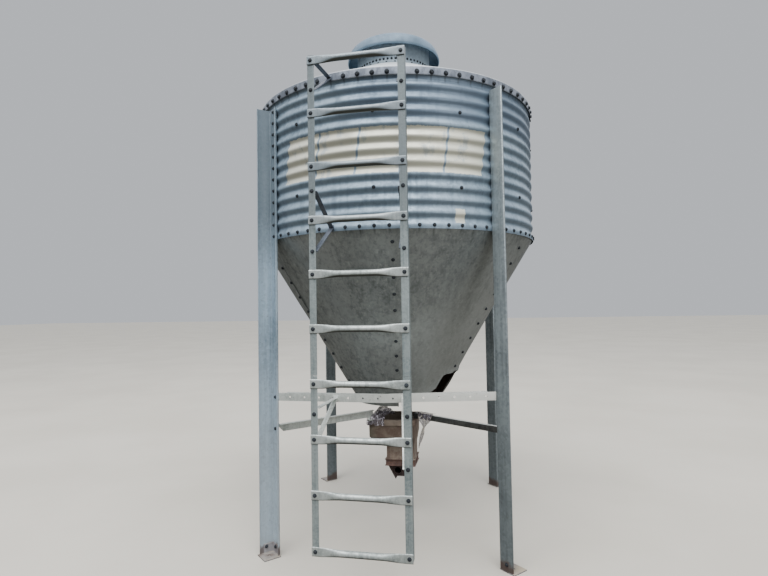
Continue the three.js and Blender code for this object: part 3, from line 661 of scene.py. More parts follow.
# %% [markdown]
# ### Handing a piece over
#
# A finished piece gets one material, rides on a body of the frame, and says which plain
# solid it stands for. Cut strip and angle are right in
# the frame already, and a welded copy with rounded edges is all that they need.


def hand_over(piece, name, material, stands_for=None, body="silo"):
    piece.name = name
    piece.data.name = name
    piece.data.materials.clear()
    piece.data.materials.append(material)
    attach(piece, body)
    if stands_for:
        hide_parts(stands_for)
    return piece


def hand_over_all(pieces, sides, name, node_name, material, slot):
    for side, piece in zip(sides, pieces):
        hand_over(piece, f"{name}_{side}", material, f"{node_name}_{side}")


def smooth_copy(node_name, edge):
    """A welded copy of a frame solid, its flat faces made whole and its edges rounded."""
    piece = own_copy(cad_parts[node_name])
    piece.parent = None
    piece.hide_render = False
    piece.hide_viewport = False
    for key in list(piece.keys()):
        del piece[key]
    with editing(piece):
        bpy.ops.mesh.remove_doubles(threshold=0.00002)
        bpy.ops.mesh.dissolve_limited(angle_limit=math.radians(2.0))
    if edge:
        finish_with(piece, "BEVEL", width=edge, segments=2, limit_method="ANGLE",
                    angle_limit=math.radians(35.0), use_clamp_overlap=True)
    return shade(piece)


def hand_over_copy(node_name, name, material, edge):
    return hand_over(smooth_copy(node_name, edge), name, material, node_name)


print("pieces can be handed over")

# %% [markdown]
# ## The corrugated wall
#
# The wall is one ring of four sheets with twelve even waves. The crests carry the bolts, and
# past the outer bolts the sheet runs straight to its edge. A cosine gives the wave, and nine
# points a wave are enough. One sheet is spun over a quarter circle and copied to the rest.

# %% Wall sheets
WAVE_DEPTH = 0.013
WAVE_POINTS = 9
LEG_AZIMUTH = 47.5


def wave_radius(z):
    turn = 2 * math.pi * (z - JOINT_Z) / PITCH
    return CREST_R - WAVE_DEPTH * (1 - math.cos(turn)) / 2


def make_wall():
    heights = [JOINT_Z + PITCH * i / WAVE_POINTS for i in range(WAVES * WAVE_POINTS + 1)]
    profile = [(CREST_R, wall_low.z)] + [(wave_radius(z), z) for z in heights] + [(CREST_R, wall_high.z)]
    sheet = spin_sheet(profile, LEG_AZIMUTH - 90.0, 90.0, steps=48, inside_z=EAVE_Z)
    shade(thicken(sheet), 60.0)
    hand_over_all(copies_round(sheet, 90.0, 4), ("front", "right", "back", "left"), "corrugated_wall",
                  "wall_sheet", wall_zinc, "galvanised_wall")
    return sheet


print("wall sheet:", len(make_wall().data.polygons), "faces")

# %% [markdown]
# ## The cone hopper
#
# Six panels make the cone. Each laps over the next along a bolted seam, where its edge stands
# proud by the sheet's thickness, and dips a little between its seams. One panel is made whole
# and copied round, and two of the six are then torn.

# %% Hopper panels
SLOPE = math.radians(58.9)
HOPPER_TILT = SLOPE - math.pi / 2
OUTLET_Z, FLANGE_TOP = hopper_low.z, hopper_high.z
OUTLET_R = 0.274
BEND_R = 0.9097
BEND_Z = OUTLET_Z + (BEND_R - OUTLET_R) * math.tan(SLOPE)
LAP = 1.6  # degrees by which a panel overlaps the next
LAP_TOP_Z = 1.815
HOPPER_ROWS = 28


def cone_radius(z):
    return BEND_R - (BEND_Z - z) / math.tan(SLOPE)


def slope_normal(azimuth, tilt):
    """Outward direction at an azimuth, tilted up by an angle."""
    angle = math.radians(azimuth)
    return Vector((math.sin(angle) * math.cos(tilt), -math.cos(angle) * math.cos(tilt), math.sin(tilt)))


def lap_and_dip(panel, start, degrees, tilt, low_z, high_z, dip):
    """Lift the lapped edge of a cone panel, and dip the middle of the panel."""
    for vertex in panel.data.vertices:
        if not low_z < vertex.co.z < high_z:
            continue
        azimuth = azimuth_of(vertex.co)
        across = (azimuth - start) % 360
        inner = math.sin(math.pi * min(across / degrees, 1.0))
        along = math.sin(math.pi * (vertex.co.z - low_z) / (high_z - low_z))
        lift = PROUD if degrees - 0.3 < across < degrees + LAP + 1 else 0.0
        wander = noise.noise(vertex.co * 2.6) * dip
        vertex.co += slope_normal(azimuth, tilt) * (lift - (dip * inner - wander) * along)


def make_hopper_panel():
    heights = [OUTLET_Z + (BEND_Z - OUTLET_Z) * i / HOPPER_ROWS for i in range(HOPPER_ROWS + 1)]
    profile = [(cone_radius(z), z) for z in heights] + [(BEND_R, FLANGE_TOP)]
    panel = spin_sheet(profile, SEAM_AZIMUTH, 60.0 + LAP, steps=44, inside_z=1.6)
    lap_and_dip(panel, SEAM_AZIMUTH, 60.0, HOPPER_TILT, OUTLET_Z - 0.001, LAP_TOP_Z, dip=0.004)
    return panel


# %% [markdown]
# ### The torn corner
#
# Right of the ladder the cone is torn away in a ragged bite. The line of the tear is read
# back from the frame's panels. Each column of the mesh is slid up its slope to end on that
# line, with a little more raggedness. Near the tear the sheet is pushed in and out in folds.

# %% Tear two panels
RAGGED = 0.007
FOLD = 0.014
FOLD_REACH = 0.16
CURL = 0.009  # outwards, over the last stretch of the sheet
CURL_REACH = 0.03
HOPPER_SIDES = ("front_right", "right", "back_right", "back_left", "left", "front_left")
TORN = 2  # the first two sides


def tear_line():
    """The frame's torn edge as (azimuth, height) points, read from its solids."""
    points = {}
    for side in HOPPER_SIDES[:TORN]:
        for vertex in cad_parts[f"hopper_panel_{side}"].data.vertices:
            if vertex.co.z < 1.5:
                points[round(azimuth_of(vertex.co), 1)] = vertex.co.z
    return sorted(points.items())


def height_on(line, azimuth):
    if azimuth <= line[0][0]:
        return line[0][1]
    for (a, low), (b, high) in zip(line, line[1:]):
        if a <= azimuth <= b:
            return low + (high - low) * (azimuth - a) / (b - a)
    return line[-1][1]


def tear(panel, line):
    for vertex in panel.data.vertices:
        z = vertex.co.z
        if z > BEND_Z + 0.0001:
            continue
        azimuth = azimuth_of(vertex.co)
        edge = height_on(line, azimuth)
        torn = min(1.0, (edge - OUTLET_Z) / 0.03)
        edge += torn * RAGGED * noise.noise(Vector((azimuth * 0.9, 3.0, 0.0)))
        share = (z - OUTLET_Z) / (BEND_Z - OUTLET_Z)
        stretched = edge + max(share, 0.0) * (BEND_Z - edge)
        proud = (vertex.co - on_axis(z)).length - cone_radius(z)
        near = torn * max(0.0, 1 - (stretched - edge) / FOLD_REACH) ** 2
        folds = noise.noise(Vector((azimuth * 0.11, stretched * 7.0, 1.0))) * FOLD * near
        folds += torn * CURL * max(0.0, 1 - (stretched - edge) / CURL_REACH)
        vertex.co = polar(cone_radius(stretched) + proud + folds, azimuth, stretched)


def make_hopper():
    line = tear_line()
    panels = copies_round(make_hopper_panel(), 60.0, len(HOPPER_SIDES))
    for panel in panels[:TORN]:
        tear(panel, line)
    for panel in panels:
        shade(thicken(panel), 35.0)
    hand_over_all(panels, HOPPER_SIDES, "cone_hopper", "hopper_panel", hopper_zinc, "dull_galvanised")
    return line


torn_line = make_hopper()
print("hopper: torn line of", len(torn_line), "points")

# %% [markdown]
# ## The cone roof
#
# The roof's three panels turn down over the top of the wall in a lip that takes the eave
# bolts. They lap like the hopper's. The lip's small radius catches the light, so the profile
# has three points there.

# %% Roof panels
ROOF_LIP_R, ROOF_TOP_R = 0.9143, 0.2503
ROOF_SLOPE = math.radians(27.0)
ROOF_TILT = math.pi / 2 - ROOF_SLOPE
LIP_TOP = EAVE_Z + 0.029
LIP_ROUND = 0.004
ROOF_ROWS = 14
ROOF_HANDED = ("cone_roof", "roof_panel", roof_zinc, "galvanised_wall")


def roof_z(radius):
    return LIP_TOP + (ROOF_LIP_R - radius) * math.tan(ROOF_SLOPE)


def make_roof():
    profile = [(ROOF_LIP_R, roof_low.z), (ROOF_LIP_R, LIP_TOP - LIP_ROUND)]
    profile.append((ROOF_LIP_R - 0.0006, LIP_TOP - 0.001))
    slope_from = ROOF_LIP_R - LIP_ROUND
    for i in range(ROOF_ROWS + 1):
        radius = slope_from + (ROOF_TOP_R - slope_from) * i / ROOF_ROWS
        profile.append((radius, roof_z(radius)))
    start = SEAM_AZIMUTH - 60.0
    panel = spin_sheet(profile, start, 120.0 + LAP, steps=76, inside_z=2.4)
    lap_and_dip(panel, start, 120.0, ROOF_TILT, LIP_TOP + 0.002, roof_high.z + 0.001, dip=0.003)
    hand_over_all([shade(thicken(panel), 35.0)], ["front"], *ROOF_HANDED)
    backs = copies_round(panel, 120.0, 3)[1:]  # these keep the front's node beside their own
    hand_over_all(backs, ["back_right", "back_left"], *ROOF_HANDED)
    return panel


print("roof panel:", len(make_roof().data.polygons), "faces")

# %% [markdown]
# ## The fill collar and its lid
#
# A short tube stands over the filling hole, on a flange that follows the roof. The lid is one
# pressed dome with a rolled rim, and lies on the tube's top edge. Its hinge is behind it: the
# lid's part of that is cut from a copy of the frame's lid, so that it fits the pin.

# %% Collar and lid
COLLAR_R = 0.25
FLANGE_LIFT = 0.0023
LID_RIM_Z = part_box("lid")[0].z + 0.001
RIM_R, RIM_ROLL = 0.3165, 0.0035
DOME_STEPS = 112
DOME = [(RIM_R, 0.0), (0.32, 0.004), (0.3195, 0.016), (0.316, 0.031), (0.3115, 0.045), (0.305, 0.058),
        (0.295, 0.072), (0.28, 0.085), (0.262, 0.0955), (0.24, 0.105), (0.212, 0.1155), (0.18, 0.125),
        (0.142, 0.134), (0.1, 0.1405), (0.05, 0.1448), (0.0, 0.146)]


def make_collar():
    bend = [(r, roof_z(r) + FLANGE_LIFT) for r in (COLLAR_R + 0.035, COLLAR_R + 0.006)]
    bend.append((COLLAR_R + 0.001, roof_z(COLLAR_R) + 0.006))
    top = collar_high.z
    rolled = [(COLLAR_R, top - 0.004), (COLLAR_R - 0.0015, top - 0.001), (COLLAR_R - 0.004, top)]
    collar = thicken(spin_sheet(bend + rolled, 0.0, 360.0, steps=96, inside_z=3.0), 0.002)
    return hand_over(shade(collar, 50.0), "fill_collar_tube", collar_zinc, "fill_collar")


def make_lid():
    profile = [(r, LID_RIM_Z + h) for r, h in DOME]
    dome = spin_sheet(profile, 0.0, 360.0, steps=DOME_STEPS, inside_z=LID_RIM_Z)
    shade(thicken(dome, 0.0025), 50.0)
    bpy.ops.mesh.primitive_torus_add(location=on_axis(LID_RIM_Z + RIM_ROLL), major_segments=DOME_STEPS,
                                     minor_segments=8, major_radius=RIM_R, minor_radius=RIM_ROLL)
    roll = shade(settle(bpy.context.object), 60.0)
    lug = smooth_copy("lid", 0.0)
    with editing(lug):
        bpy.ops.mesh.bisect(plane_co=(0.0, AXIS.y + RIM_R, 0.0), plane_no=(0.0, 1.0, 0.0), use_fill=True,
                            clear_inner=True)
    finish_with(lug, "BEVEL", width=0.0012, segments=2, limit_method="ANGLE")
    return hand_over(weld(dome, roll, lug), "domed_lid", lid_paint, "lid", body="lid")


make_collar()
lid = make_lid()
hand_over_copy("lid_hinge_bracket", "hinge_bracket", leg_zinc, 0.0008)
print("lid:", len(lid.data.polygons), "faces")

# %% [markdown]
# ## The legs and their feet
#
# Each leg is a pressed angle with a rounded fold and a small stiffening lip. The section's
# middle line is drawn, extruded up and thickened. The leg is made at the right front and
# turned to the other three corners.

# %% Legs and feet
LEG_FACE = 0.9123  # inner face of the flange on the wall
LEG_WALL = 0.0032
LEG_FLANGE = 0.089
LEG_LIP = 0.013
FOLD_ROUND, LIP_FOLD, TIP_FOLD = 0.006, 0.004, 0.003
leg_low, leg_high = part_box("leg_front_right")
CORNERS = {"front_right": 0.0, "back_right": 90.0, "back_left": 180.0, "front_left": 270.0}


def arc(x, y, radius, start, end, steps=4):
    """Points along an arc in plan, round (x, y)."""
    angles = [math.radians(start + (end - start) * i / steps) for i in range(steps + 1)]
    return [(x + radius * math.cos(a), y + radius * math.sin(a)) for a in angles]


def angle_bar(section, low, high, wall):
    """A folded strip: a middle line in plan, extruded up and thickened."""
    bar = trace([Vector((x, y, low)) for x, y in section])
    with editing(bar, "EDGE"):
        extrude((0.0, 0.0, high - low))
        bpy.ops.mesh.select_all(action="SELECT")
        even_normals()
    finish_with(bar, "SOLIDIFY", thickness=wall, offset=0.0, use_even_offset=True)
    return finish_with(bar, "BEVEL", width=min(0.0006, wall * 0.25), segments=1, limit_method="ANGLE")


def make_legs():
    face = -(LEG_FACE + LEG_WALL / 2)
    fold_x = (LEG_WALL - LEG_FLANGE) / 2
    lip_x = (LEG_FLANGE - LEG_WALL) / 2
    tip = LEG_WALL / 2 - (LEG_FACE + LEG_FLANGE)
    section = [(fold_x + LEG_LIP * 0.6, tip)]
    section += arc(fold_x + TIP_FOLD, tip + TIP_FOLD, TIP_FOLD, 270, 180, 2)
    section += arc(fold_x + FOLD_ROUND, face - FOLD_ROUND, FOLD_ROUND, 180, 90)
    section += arc(lip_x - LIP_FOLD, face - LIP_FOLD, LIP_FOLD, 90, 0, 3)
    section += [(lip_x, face - LEG_LIP)]
    leg = angle_bar(section, leg_low.z, leg_high.z, LEG_WALL)
    leg.data.transform(to_azimuth(LEG_AZIMUTH))
    for corner, piece in zip(CORNERS, copies_round(shade(leg), 90.0, 4)):
        # the front-left leg gets the lit zinc, the others the zinc with painted shade
        leg_finish = leg_zinc if corner == "front_left" else shaded_leg_zinc
        hand_over(piece, f"angle_leg_{corner}", leg_finish, f"leg_{corner}")
        hand_over_copy(f"foot_{corner}", f"foot_plate_{corner}", foot_rust, 0.0012)
    return leg


print("leg:", len(make_legs().data.polygons), "faces")

# %% [markdown]
# ## The ladder
#
# The rails are small angles, made like the legs. A rung is a tube whose ends were squashed
# flat and bolted to the rails' faces. It swells to round over a hand's width. One rung is
# drawn ring by ring, and copied to all ten.

# %% Rails
rail_low, rail_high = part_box("ladder_rail_right")
RAIL_WALL = 0.0025
SPLICE_Z = 1.083  # each rail is two lengths, end to end
SPLICE_GAP = 0.0015


def make_rails():
    outer = rail_high.x - RAIL_WALL / 2
    face = rail_low.y + RAIL_WALL / 2
    section = [(rail_low.x, face)] + arc(outer - 0.003, face + 0.003, 0.003, 270, 360)
    section += [(outer, rail_high.y)]
    lower = angle_bar(section, rail_low.z, SPLICE_Z - SPLICE_GAP, RAIL_WALL)
    upper = angle_bar(section, SPLICE_Z, rail_high.z, RAIL_WALL)
    rail = shade(weld(lower, upper))
    mirrored = own_copy(rail, Matrix.Scale(-1, 4, (1, 0, 0)))
    with editing(mirrored):
        bpy.ops.mesh.flip_normals()
    hand_over_all((rail, mirrored), ("right", "left"), "rail", "ladder_rail", rail_zinc, "ladder_steel")
    return rail


print("rail:", len(make_rails().data.polygons), "faces")

# %% Rungs
TUBE_R = 0.0162
FLAT_HEIGHT = 0.045
FLAT_THICKNESS = 0.005
FLAT_TO, ROUND_FROM = 0.206, 0.085  # where the squashed end starts to swell, and is round
SWELL_STEPS = 7
RING = 24
rung_boxes = {number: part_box(f"rung_{number}") for number in range(1, 11)}


def rung_ring(share, turn):
    """A point of the rung's section, from flat at 0 to round at 1."""
    swell = share * share * (3 - 2 * share)
    flat_y = max(-1.0, min(1.0, 1.9 * math.cos(turn))) * FLAT_THICKNESS / 2
    flat_z = math.sin(turn) * FLAT_HEIGHT / 2
    round_y = TUBE_R * math.cos(turn)
    round_z = TUBE_R * math.sin(turn)
    return flat_y + (round_y - flat_y) * swell, flat_z + (round_z - flat_z) * swell


def make_rungs():
    low, high = rung_boxes[1]
    middle = (low + high) / 2
    half = (high.x - low.x) / 2
    swells = [(half, 0.0), (half - 0.002, 0.0)]
    for i in range(SWELL_STEPS + 1):
        share = i / SWELL_STEPS
        swells.append((FLAT_TO - (FLAT_TO - ROUND_FROM) * share, share))
    stations = [(-x, s) for x, s in swells] + [(0.0, 1.0)] + [(x, s) for x, s in reversed(swells)]
    bpy.ops.mesh.primitive_circle_add(vertices=RING, radius=TUBE_R, fill_type="NGON", location=middle,
                                      rotation=(0.0, math.pi / 2, 0.0))
    rung = settle(bpy.context.object)
    with editing(rung, "FACE"):
        bpy.ops.transform.translate(value=(-half, 0.0, 0.0))
        for (start, _), (end, _) in zip(stations, stations[1:]):
            extrude((end - start, 0.0, 0.0))
    for vertex in rung.data.vertices:
        offset = vertex.co - middle
        share = min(stations, key=lambda station: abs(station[0] - offset.x))[1]
        y, z = rung_ring(share, math.atan2(offset.z, offset.y))
        vertex.co = (vertex.co.x, middle.y + y, middle.z + z)
    with editing(rung):
        bpy.ops.mesh.remove_doubles(threshold=0.00001)
        even_normals()
    shade(rung, 50.0)
    rungs = []
    for box in rung_boxes.values():
        drop = (box[0].z + box[1].z) / 2 - middle.z
        rungs.append(own_copy(rung, Matrix.Translation((0.0, 0.0, drop))))
    hand_over_all(rungs, rung_boxes, "tube_rung", "rung", ladder_zinc, "ladder_steel")
    bpy.data.objects.remove(rung)


make_rungs()
print("rungs:", len(rung_boxes))

# %% [markdown]
# ### Brackets, brace and straps
#
# The brace is stock angle, so a row of unused holes runs along it, and follows its sag.
# A boolean cuts them with one joined set of plugs.

# %% Brackets, brace and straps
HOLE_STEP = 0.0855
HOLE_SHIFT = 0.007  # the row's middle, right of the brace's
HOLE_R = 0.0055
HOLE_DEPTH = 0.02
HOLES = 14


def cut_holes(piece, centres, direction):
    """Bore round holes through a piece."""
    turn = direction.to_track_quat("Z", "Y").to_euler()
    plugs = []
    for centre in centres:
        bpy.ops.mesh.primitive_cylinder_add(vertices=16, radius=HOLE_R, depth=HOLE_DEPTH, location=centre,
                                            rotation=turn)
        plugs.append(settle(bpy.context.object))
    cutter = weld(*plugs)
    finish_with(piece, "BOOLEAN", operation="DIFFERENCE", object=cutter, solver="EXACT")
    bpy.data.objects.remove(cutter)


def make_brace():
    brace = smooth_copy("front_brace", 0.0005)
    ends = []
    for side in (-1, 1):
        tip = [vertex.co for vertex in brace.data.vertices if vertex.co.x * side > 0.5]
        heights = [point.z for point in tip]
        front = min(tip, key=lambda point: point.y)
        ends.append(Vector((front.x, front.y, (min(heights) + max(heights)) / 2)))
    middle = (ends[0] + ends[1]) / 2
    lowest = min(vertex.co.z for vertex in brace.data.vertices if abs(vertex.co.x) < 0.05)
    sag = middle.z - (max(heights) - min(heights)) / 2 - lowest
    along = (ends[1] - ends[0]).normalized()
    half = (ends[1] - ends[0]).length / 2
    centres = []
    for i in range(HOLES):
        off = HOLE_SHIFT + HOLE_STEP * (i - (HOLES - 1) / 2)
        centres.append(middle + along * off - Vector((0.0, 0.0, sag * (1 - abs(off) / half))))
    cut_holes(brace, centres, Vector((-along.y, along.x, 0.0)))
    return hand_over(shade(brace), "cross_brace", strap_zinc, "front_brace")


# the top and middle brackets get the zinc with painted shade
for level, zinc_of_level in (("top", shaded_strap_zinc), ("middle", shaded_strap_zinc), ("low", strap_zinc)):
    for side in ("left", "right"):
        bracket = f"ladder_bracket_{level}_{side}"
        hand_over_copy(bracket, f"strip_{bracket}", zinc_of_level, 0.0006)
brace = make_brace()
# the right strap gets the zinc with painted shade
for side, zinc_of_side in (("left", strap_zinc), ("right", dark_strap_zinc)):
    hand_over_copy(f"boot_strap_{side}", f"angle_strap_{side}", zinc_of_side, 0.0006)
print("brace:", len(brace.data.polygons), "faces")

# %% [markdown]
# ## The boot
#
# The boot is welded from plate: a square rim, a body that tapers to a neck, and a trough
# bolted under it. Its forms are the frame's. The rounded edges and rough rust make it heavy.

# %% Boot
boot = hand_over_copy("boot_hopper", "boot_body", boot_rust, 0.0012)
trough = hand_over_copy("boot_trough", "boot_trough_body", trough_rust, 0.001)
print("boot:", len(boot.data.polygons) + len(trough.data.polygons), "faces")

# %% [markdown]
# ### What the wind left on it
#
# A torn piece of clear film has caught on the left corner of the boot's rim, and a strip of
# pale film is looped over the right strap. Each is a flat grid, whose points are then laid
# over the steel by a formula of two shares, across the sheet and along it. Noise crumples it.

# %% Film and strip
FILM_THICKNESS = 0.0005
FILM_CUT = (0.12, 0.25)
FILM_TURN = 0.68  # share of its length that lies inside the rim
FILM_ARCH = 0.075  # how high it stands over the rim
FILM_HANG = 0.042  # and how far it hangs down in front
FILM_CREASE = 0.012
WAIST = 0.42  # share of the strip's length where it is knotted
STRIP_PLANE = 47.5  # the right strap's azimuth
STRIP_ROUTE = [  # radius, height, distance in front of the strap, width
    (0.206, 0.491, 0.006, 0.005), (0.218, 0.525, 0.008, 0.018), (0.234, 0.562, 0.008, 0.030),
    (0.254, 0.600, 0.010, 0.030), (0.264, 0.634, 0.010, 0.016), (0.270, 0.656, 0.014, 0.052),
    (0.274, 0.680, 0.016, 0.120), (0.275, 0.704, 0.014, 0.146), (0.275, 0.724, 0.004, 0.150),
    (0.275, 0.727, -0.010, 0.146), (0.275, 0.724, -0.024, 0.140),
]
PLEAT = 0.006
rim_low, rim_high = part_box("boot_hopper")


@finish(0.0)
def plastic(tree, shader, base, opacity, roughness):
    """Thin and wrinkled, clear where it is flat and milky along its creases."""
    crease = clouds(tree, 30.0, (1.0, 1.0, 0.7), 3.0, 0.5)
    milky = fade(abs(crease - 0.5), 0.0, 0.045, 1.0, 0.0)
    plug(shader.inputs["Roughness"], fade(crease, 0.3, 0.7, roughness, roughness + 0.1))
    plug(shader.inputs["Alpha"], fade(milky, 0.0, 1.0, *opacity))
    bump(shader, crease, 0.6, 0.003)
    return mix(milky, tint(118, 112, 120), base)


def lay_sheet(name, columns, rows, shape, material):
    """A grid of points put where shape says, for shares from 0 to 1 across and along."""
    bpy.ops.mesh.primitive_grid_add(x_subdivisions=columns, y_subdivisions=rows, size=1.0)
    sheet = bpy.context.object
    sheet.name = name
    for vertex in sheet.data.vertices:
        vertex.co = shape(vertex.co.x + 0.5, vertex.co.y + 0.5)
    with editing(sheet):
        even_normals()
    thicken(sheet, FILM_THICKNESS)
    finish_with(sheet, "SUBSURF", levels=1, render_levels=1)
    sheet.data.materials.append(material)
    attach(sheet, "silo")
    return shade(sheet, 180.0)


def over_rim(across, along):
    """From inside the rim, up over its left corner, and down in front."""
    inside = max(0.0, 1 - along / FILM_TURN)
    left = rim_low.x - 0.004 + 0.055 * math.sin(min(1.0, inside * 2.2) * math.pi / 2)
    width = FILM_CUT[0] * (0.98 - 0.2 * math.sin(math.pi * inside))
    crumple = Vector((across * 5.0, along * 9.0, 2.0))
    creases = Vector([noise.noise(crumple + Vector((0.0, 0.0, 3.0 * i))) for i in range(3)]) * FILM_CREASE
    if inside > 0:
        arch = FILM_ARCH * math.sin(math.pi * inside) ** 0.7 * (0.5 + 0.5 * math.sin(math.pi * across))
        return Vector((left + width * across, rim_low.y + 0.15 * inside, rim_high.z + 0.008 + arch)) + creases
    down = (along - FILM_TURN) / (1 - FILM_TURN)
    scallop = 0.75 + 0.25 * abs(math.sin(across * math.pi * 2.5))
    creases.y = -abs(creases.y)
    return creases + Vector((left + width * across, rim_low.y - 0.003 - 0.008 * down,
                             rim_high.z + 0.006 - FILM_HANG * down * scallop))


def along_route(across, along):
    """From its tail, through the knot, and over the strap in pleats."""
    place_on = along * (len(STRIP_ROUTE) - 1)
    i = min(int(place_on), len(STRIP_ROUTE) - 2)
    radius, z, front, width = Vector(STRIP_ROUTE[i]).lerp(Vector(STRIP_ROUTE[i + 1]), place_on - i)
    tilt = math.radians(-24.0 if along < WAIST else 2.5)
    offset = (across - 0.5) * width
    pleat = math.sin(across * 21.0 + along * 7.0) * PLEAT * min(1.0, width / 0.1)
    crumple = noise.noise(Vector((across * 6.0, along * 16.0, 5.0))) * 0.5 * PLEAT
    angle = math.radians(STRIP_PLANE)
    ahead_of_strap = Vector((-math.cos(angle), -math.sin(angle), 0.0))
    lift = abs(pleat) * 0.5 if front < 0.006 else 0.0
    front += 0.0 if lift else pleat
    spot = polar(radius + offset * math.cos(tilt), STRIP_PLANE, z + offset * math.sin(tilt) + lift + crumple)
    return spot + ahead_of_strap * front


clear_film = plastic("clear_film", tint(196, 190, 196), (0.35, 0.9), 0.12)
pale_film = plastic("pale_film", tint(222, 214, 200), (0.5, 0.98), 0.2)
film = lay_sheet("torn_film", 20, 36, over_rim, clear_film)
strip = lay_sheet("pale_strip", 28, 60, along_route, pale_film)
print("film and strip:", len(film.data.polygons), len(strip.data.polygons), "faces")

# %% [markdown]
# ## Bolts
#
# A silo is held by hundreds of like bolts: a hexagon head on a broad washer that seals the
# hole. One is modelled, and copied to rings, columns and seams. Each set is one joined piece.

# %% One bolt


def make_disc(corners, radius, low, high, chamfer):
    """A short cylinder, upright, with its top edge bevelled."""
    bpy.ops.mesh.primitive_cylinder_add(vertices=corners, radius=radius, depth=high - low,
                                        location=(0.0, 0.0, (low + high) / 2))
    disc = settle(bpy.context.object)
    with editing(disc, "EDGE") as mesh:
        bpy.ops.mesh.select_all(action="DESELECT")
        for edge in mesh.edges:
            edge.select_set(all(vertex.co.z > high * 0.9 for vertex in edge.verts))
        mesh.select_flush_mode()
        bpy.ops.mesh.bevel(offset=chamfer, segments=1)
    return disc


WASHER_HEIGHT, HEAD_HEIGHT = 0.002, 0.006
head = make_disc(6, 0.0075, WASHER_HEIGHT, WASHER_HEIGHT + HEAD_HEIGHT, chamfer=0.0012)
washer = make_disc(14, 0.0105, 0.0, WASHER_HEIGHT, chamfer=0.0008)
bolt = shade(weld(head, washer), 30.0)
print("bolt:", len(bolt.data.polygons), "faces")

# %% Place the bolts
SEAM_BOLTS, SEAM_BOLT_TOP, SEAM_BOLT_STEP = 11, 1.759, 0.0912  # down the hopper
ROOF_SEAM_BOLTS, ROOF_SEAM_TOP, ROOF_SEAM_STEP = 6, 0.84, 0.11  # inwards, by their radius
EAVE_BOLT_SIZE = 1.3  # the roof's bolts are the next size up
RIVET_SIZE = 0.75
EDGE_CLEAR = 0.03  # no seam bolt is nearer to the torn edge
RIVET_Z, FLANGE_RIVET_R = roof_z(COLLAR_R) + 0.024, COLLAR_R + 0.02
LEG_OUTER = LEG_FACE + LEG_WALL


def seat(point, outward):
    """A place on a surface: the bolt stands along the outward direction."""
    turn = Vector(outward).to_track_quat("Z", "Y").to_matrix().to_4x4()
    return Matrix.Translation(point) @ turn


def on_tank(azimuth, z, radius, tilt=0.0, lift=0.0):
    outward = slope_normal(azimuth, tilt)
    return seat(polar(radius, azimuth, z) + outward * lift, outward)


def place_bolts(name, seats, size=1.0):
    dice = random.Random(name)
    copies = []
    for matrix in seats:
        twist = Matrix.Rotation(dice.uniform(0.0, math.pi / 3), 4, "Z")
        copies.append(own_copy(bolt, matrix @ twist @ Matrix.Scale(size, 4)))
    return hand_over(weld(*copies), name, bolt_dark)


def under_leg(azimuth):
    return abs((azimuth - LEG_AZIMUTH + 45) % 90 - 45) < 1


def hopper_seams():
    seats = []
    for i in range(6):
        azimuth = SEAM_AZIMUTH + 60 * i + LAP / 2
        edge = height_on(torn_line, azimuth) if 0 < azimuth < torn_line[-1][0] else OUTLET_Z
        for z in [SEAM_BOLT_TOP - SEAM_BOLT_STEP * row for row in range(SEAM_BOLTS)]:
            if z > edge + EDGE_CLEAR:
                seats.append(on_tank(azimuth, z, cone_radius(z), HOPPER_TILT, PROUD))
    return seats


def roof_seams():
    seats = []
    for i in range(3):
        azimuth = SEAM_AZIMUTH + 60 + 120 * i + LAP / 2
        for radius in [ROOF_SEAM_TOP - ROOF_SEAM_STEP * row for row in range(ROOF_SEAM_BOLTS)]:
            seats.append(on_tank(azimuth, roof_z(radius), radius, ROOF_TILT, PROUD))
    return seats


ring_bolts = [FIRST_BOLT + BOLT_STEP * i for i in range(round(360 / BOLT_STEP))]
joint_bolts = [azimuth for azimuth in ring_bolts if not under_leg(azimuth)]
crests = [JOINT_Z + PITCH * i for i in range(WAVES)]
bolt_sets = {
    "joint_ring": [on_tank(azimuth, JOINT_Z, CREST_R) for azimuth in joint_bolts],
    "eave_ring": [on_tank(azimuth, EAVE_Z, ROOF_LIP_R) for azimuth in ring_bolts],
    "leg_columns": [on_tank(LEG_AZIMUTH + turn, z, LEG_OUTER) for turn in CORNERS.values() for z in crests],
    "wall": [on_tank(azimuth, z, CREST_R) for azimuth in ring_bolts[::6] for z in crests[3::6]],
    "hopper_seams": hopper_seams(),
    "roof_seams": roof_seams(),
    "collar": [on_tank(1.0 + 6.0 * i, RIVET_Z, COLLAR_R + 0.0008) for i in range(60)],
    "collar_flange": [on_tank(azimuth, roof_z(FLANGE_RIVET_R) + FLANGE_LIFT, FLANGE_RIVET_R, ROOF_TILT)
                      for azimuth in range(0, 360, 12)],
}
bolt_sizes = {"eave_ring": EAVE_BOLT_SIZE, "collar": RIVET_SIZE, "collar_flange": RIVET_SIZE}
for name, seats in bolt_sets.items():
    place_bolts(f"bolts_{name}", seats, bolt_sizes.get(name, 1.0))
print("ring bolts:", len(joint_bolts), "and", len(ring_bolts))

# %% [markdown]
# ### Bolts on the ladder, brace and feet
#
# Each rung end has one bolt, and each bracket foot another beside it on the rail's face.
# They face the camera, so their heights were taken from the photograph.

# %% Ladder bolts
RUNG_FACE_Y = rail_low.y - 0.0053
RAIL_X = (rail_low.x + rail_high.x) / 2
BRACKET_BOLT_HEIGHTS = (2.5, 1.9925, 1.692, 0.896)
LOWEST_BRACKET_BOLT = 0.649  # on the right rail only
FOOT_TAB = 0.0043
FOOT_BOLT_Z, FOOT_BOLT_OUT = 0.041, 0.045
BRACE_BOLT_Z = {"front_left": 0.898, "front_right": 0.918}
STRAP_BOLT_Z = {"front_left": 0.716, "front_right": 0.728}


def on_ladder(x, y, z):
    return seat(Vector((x, y, z)), (0, -1, 0))


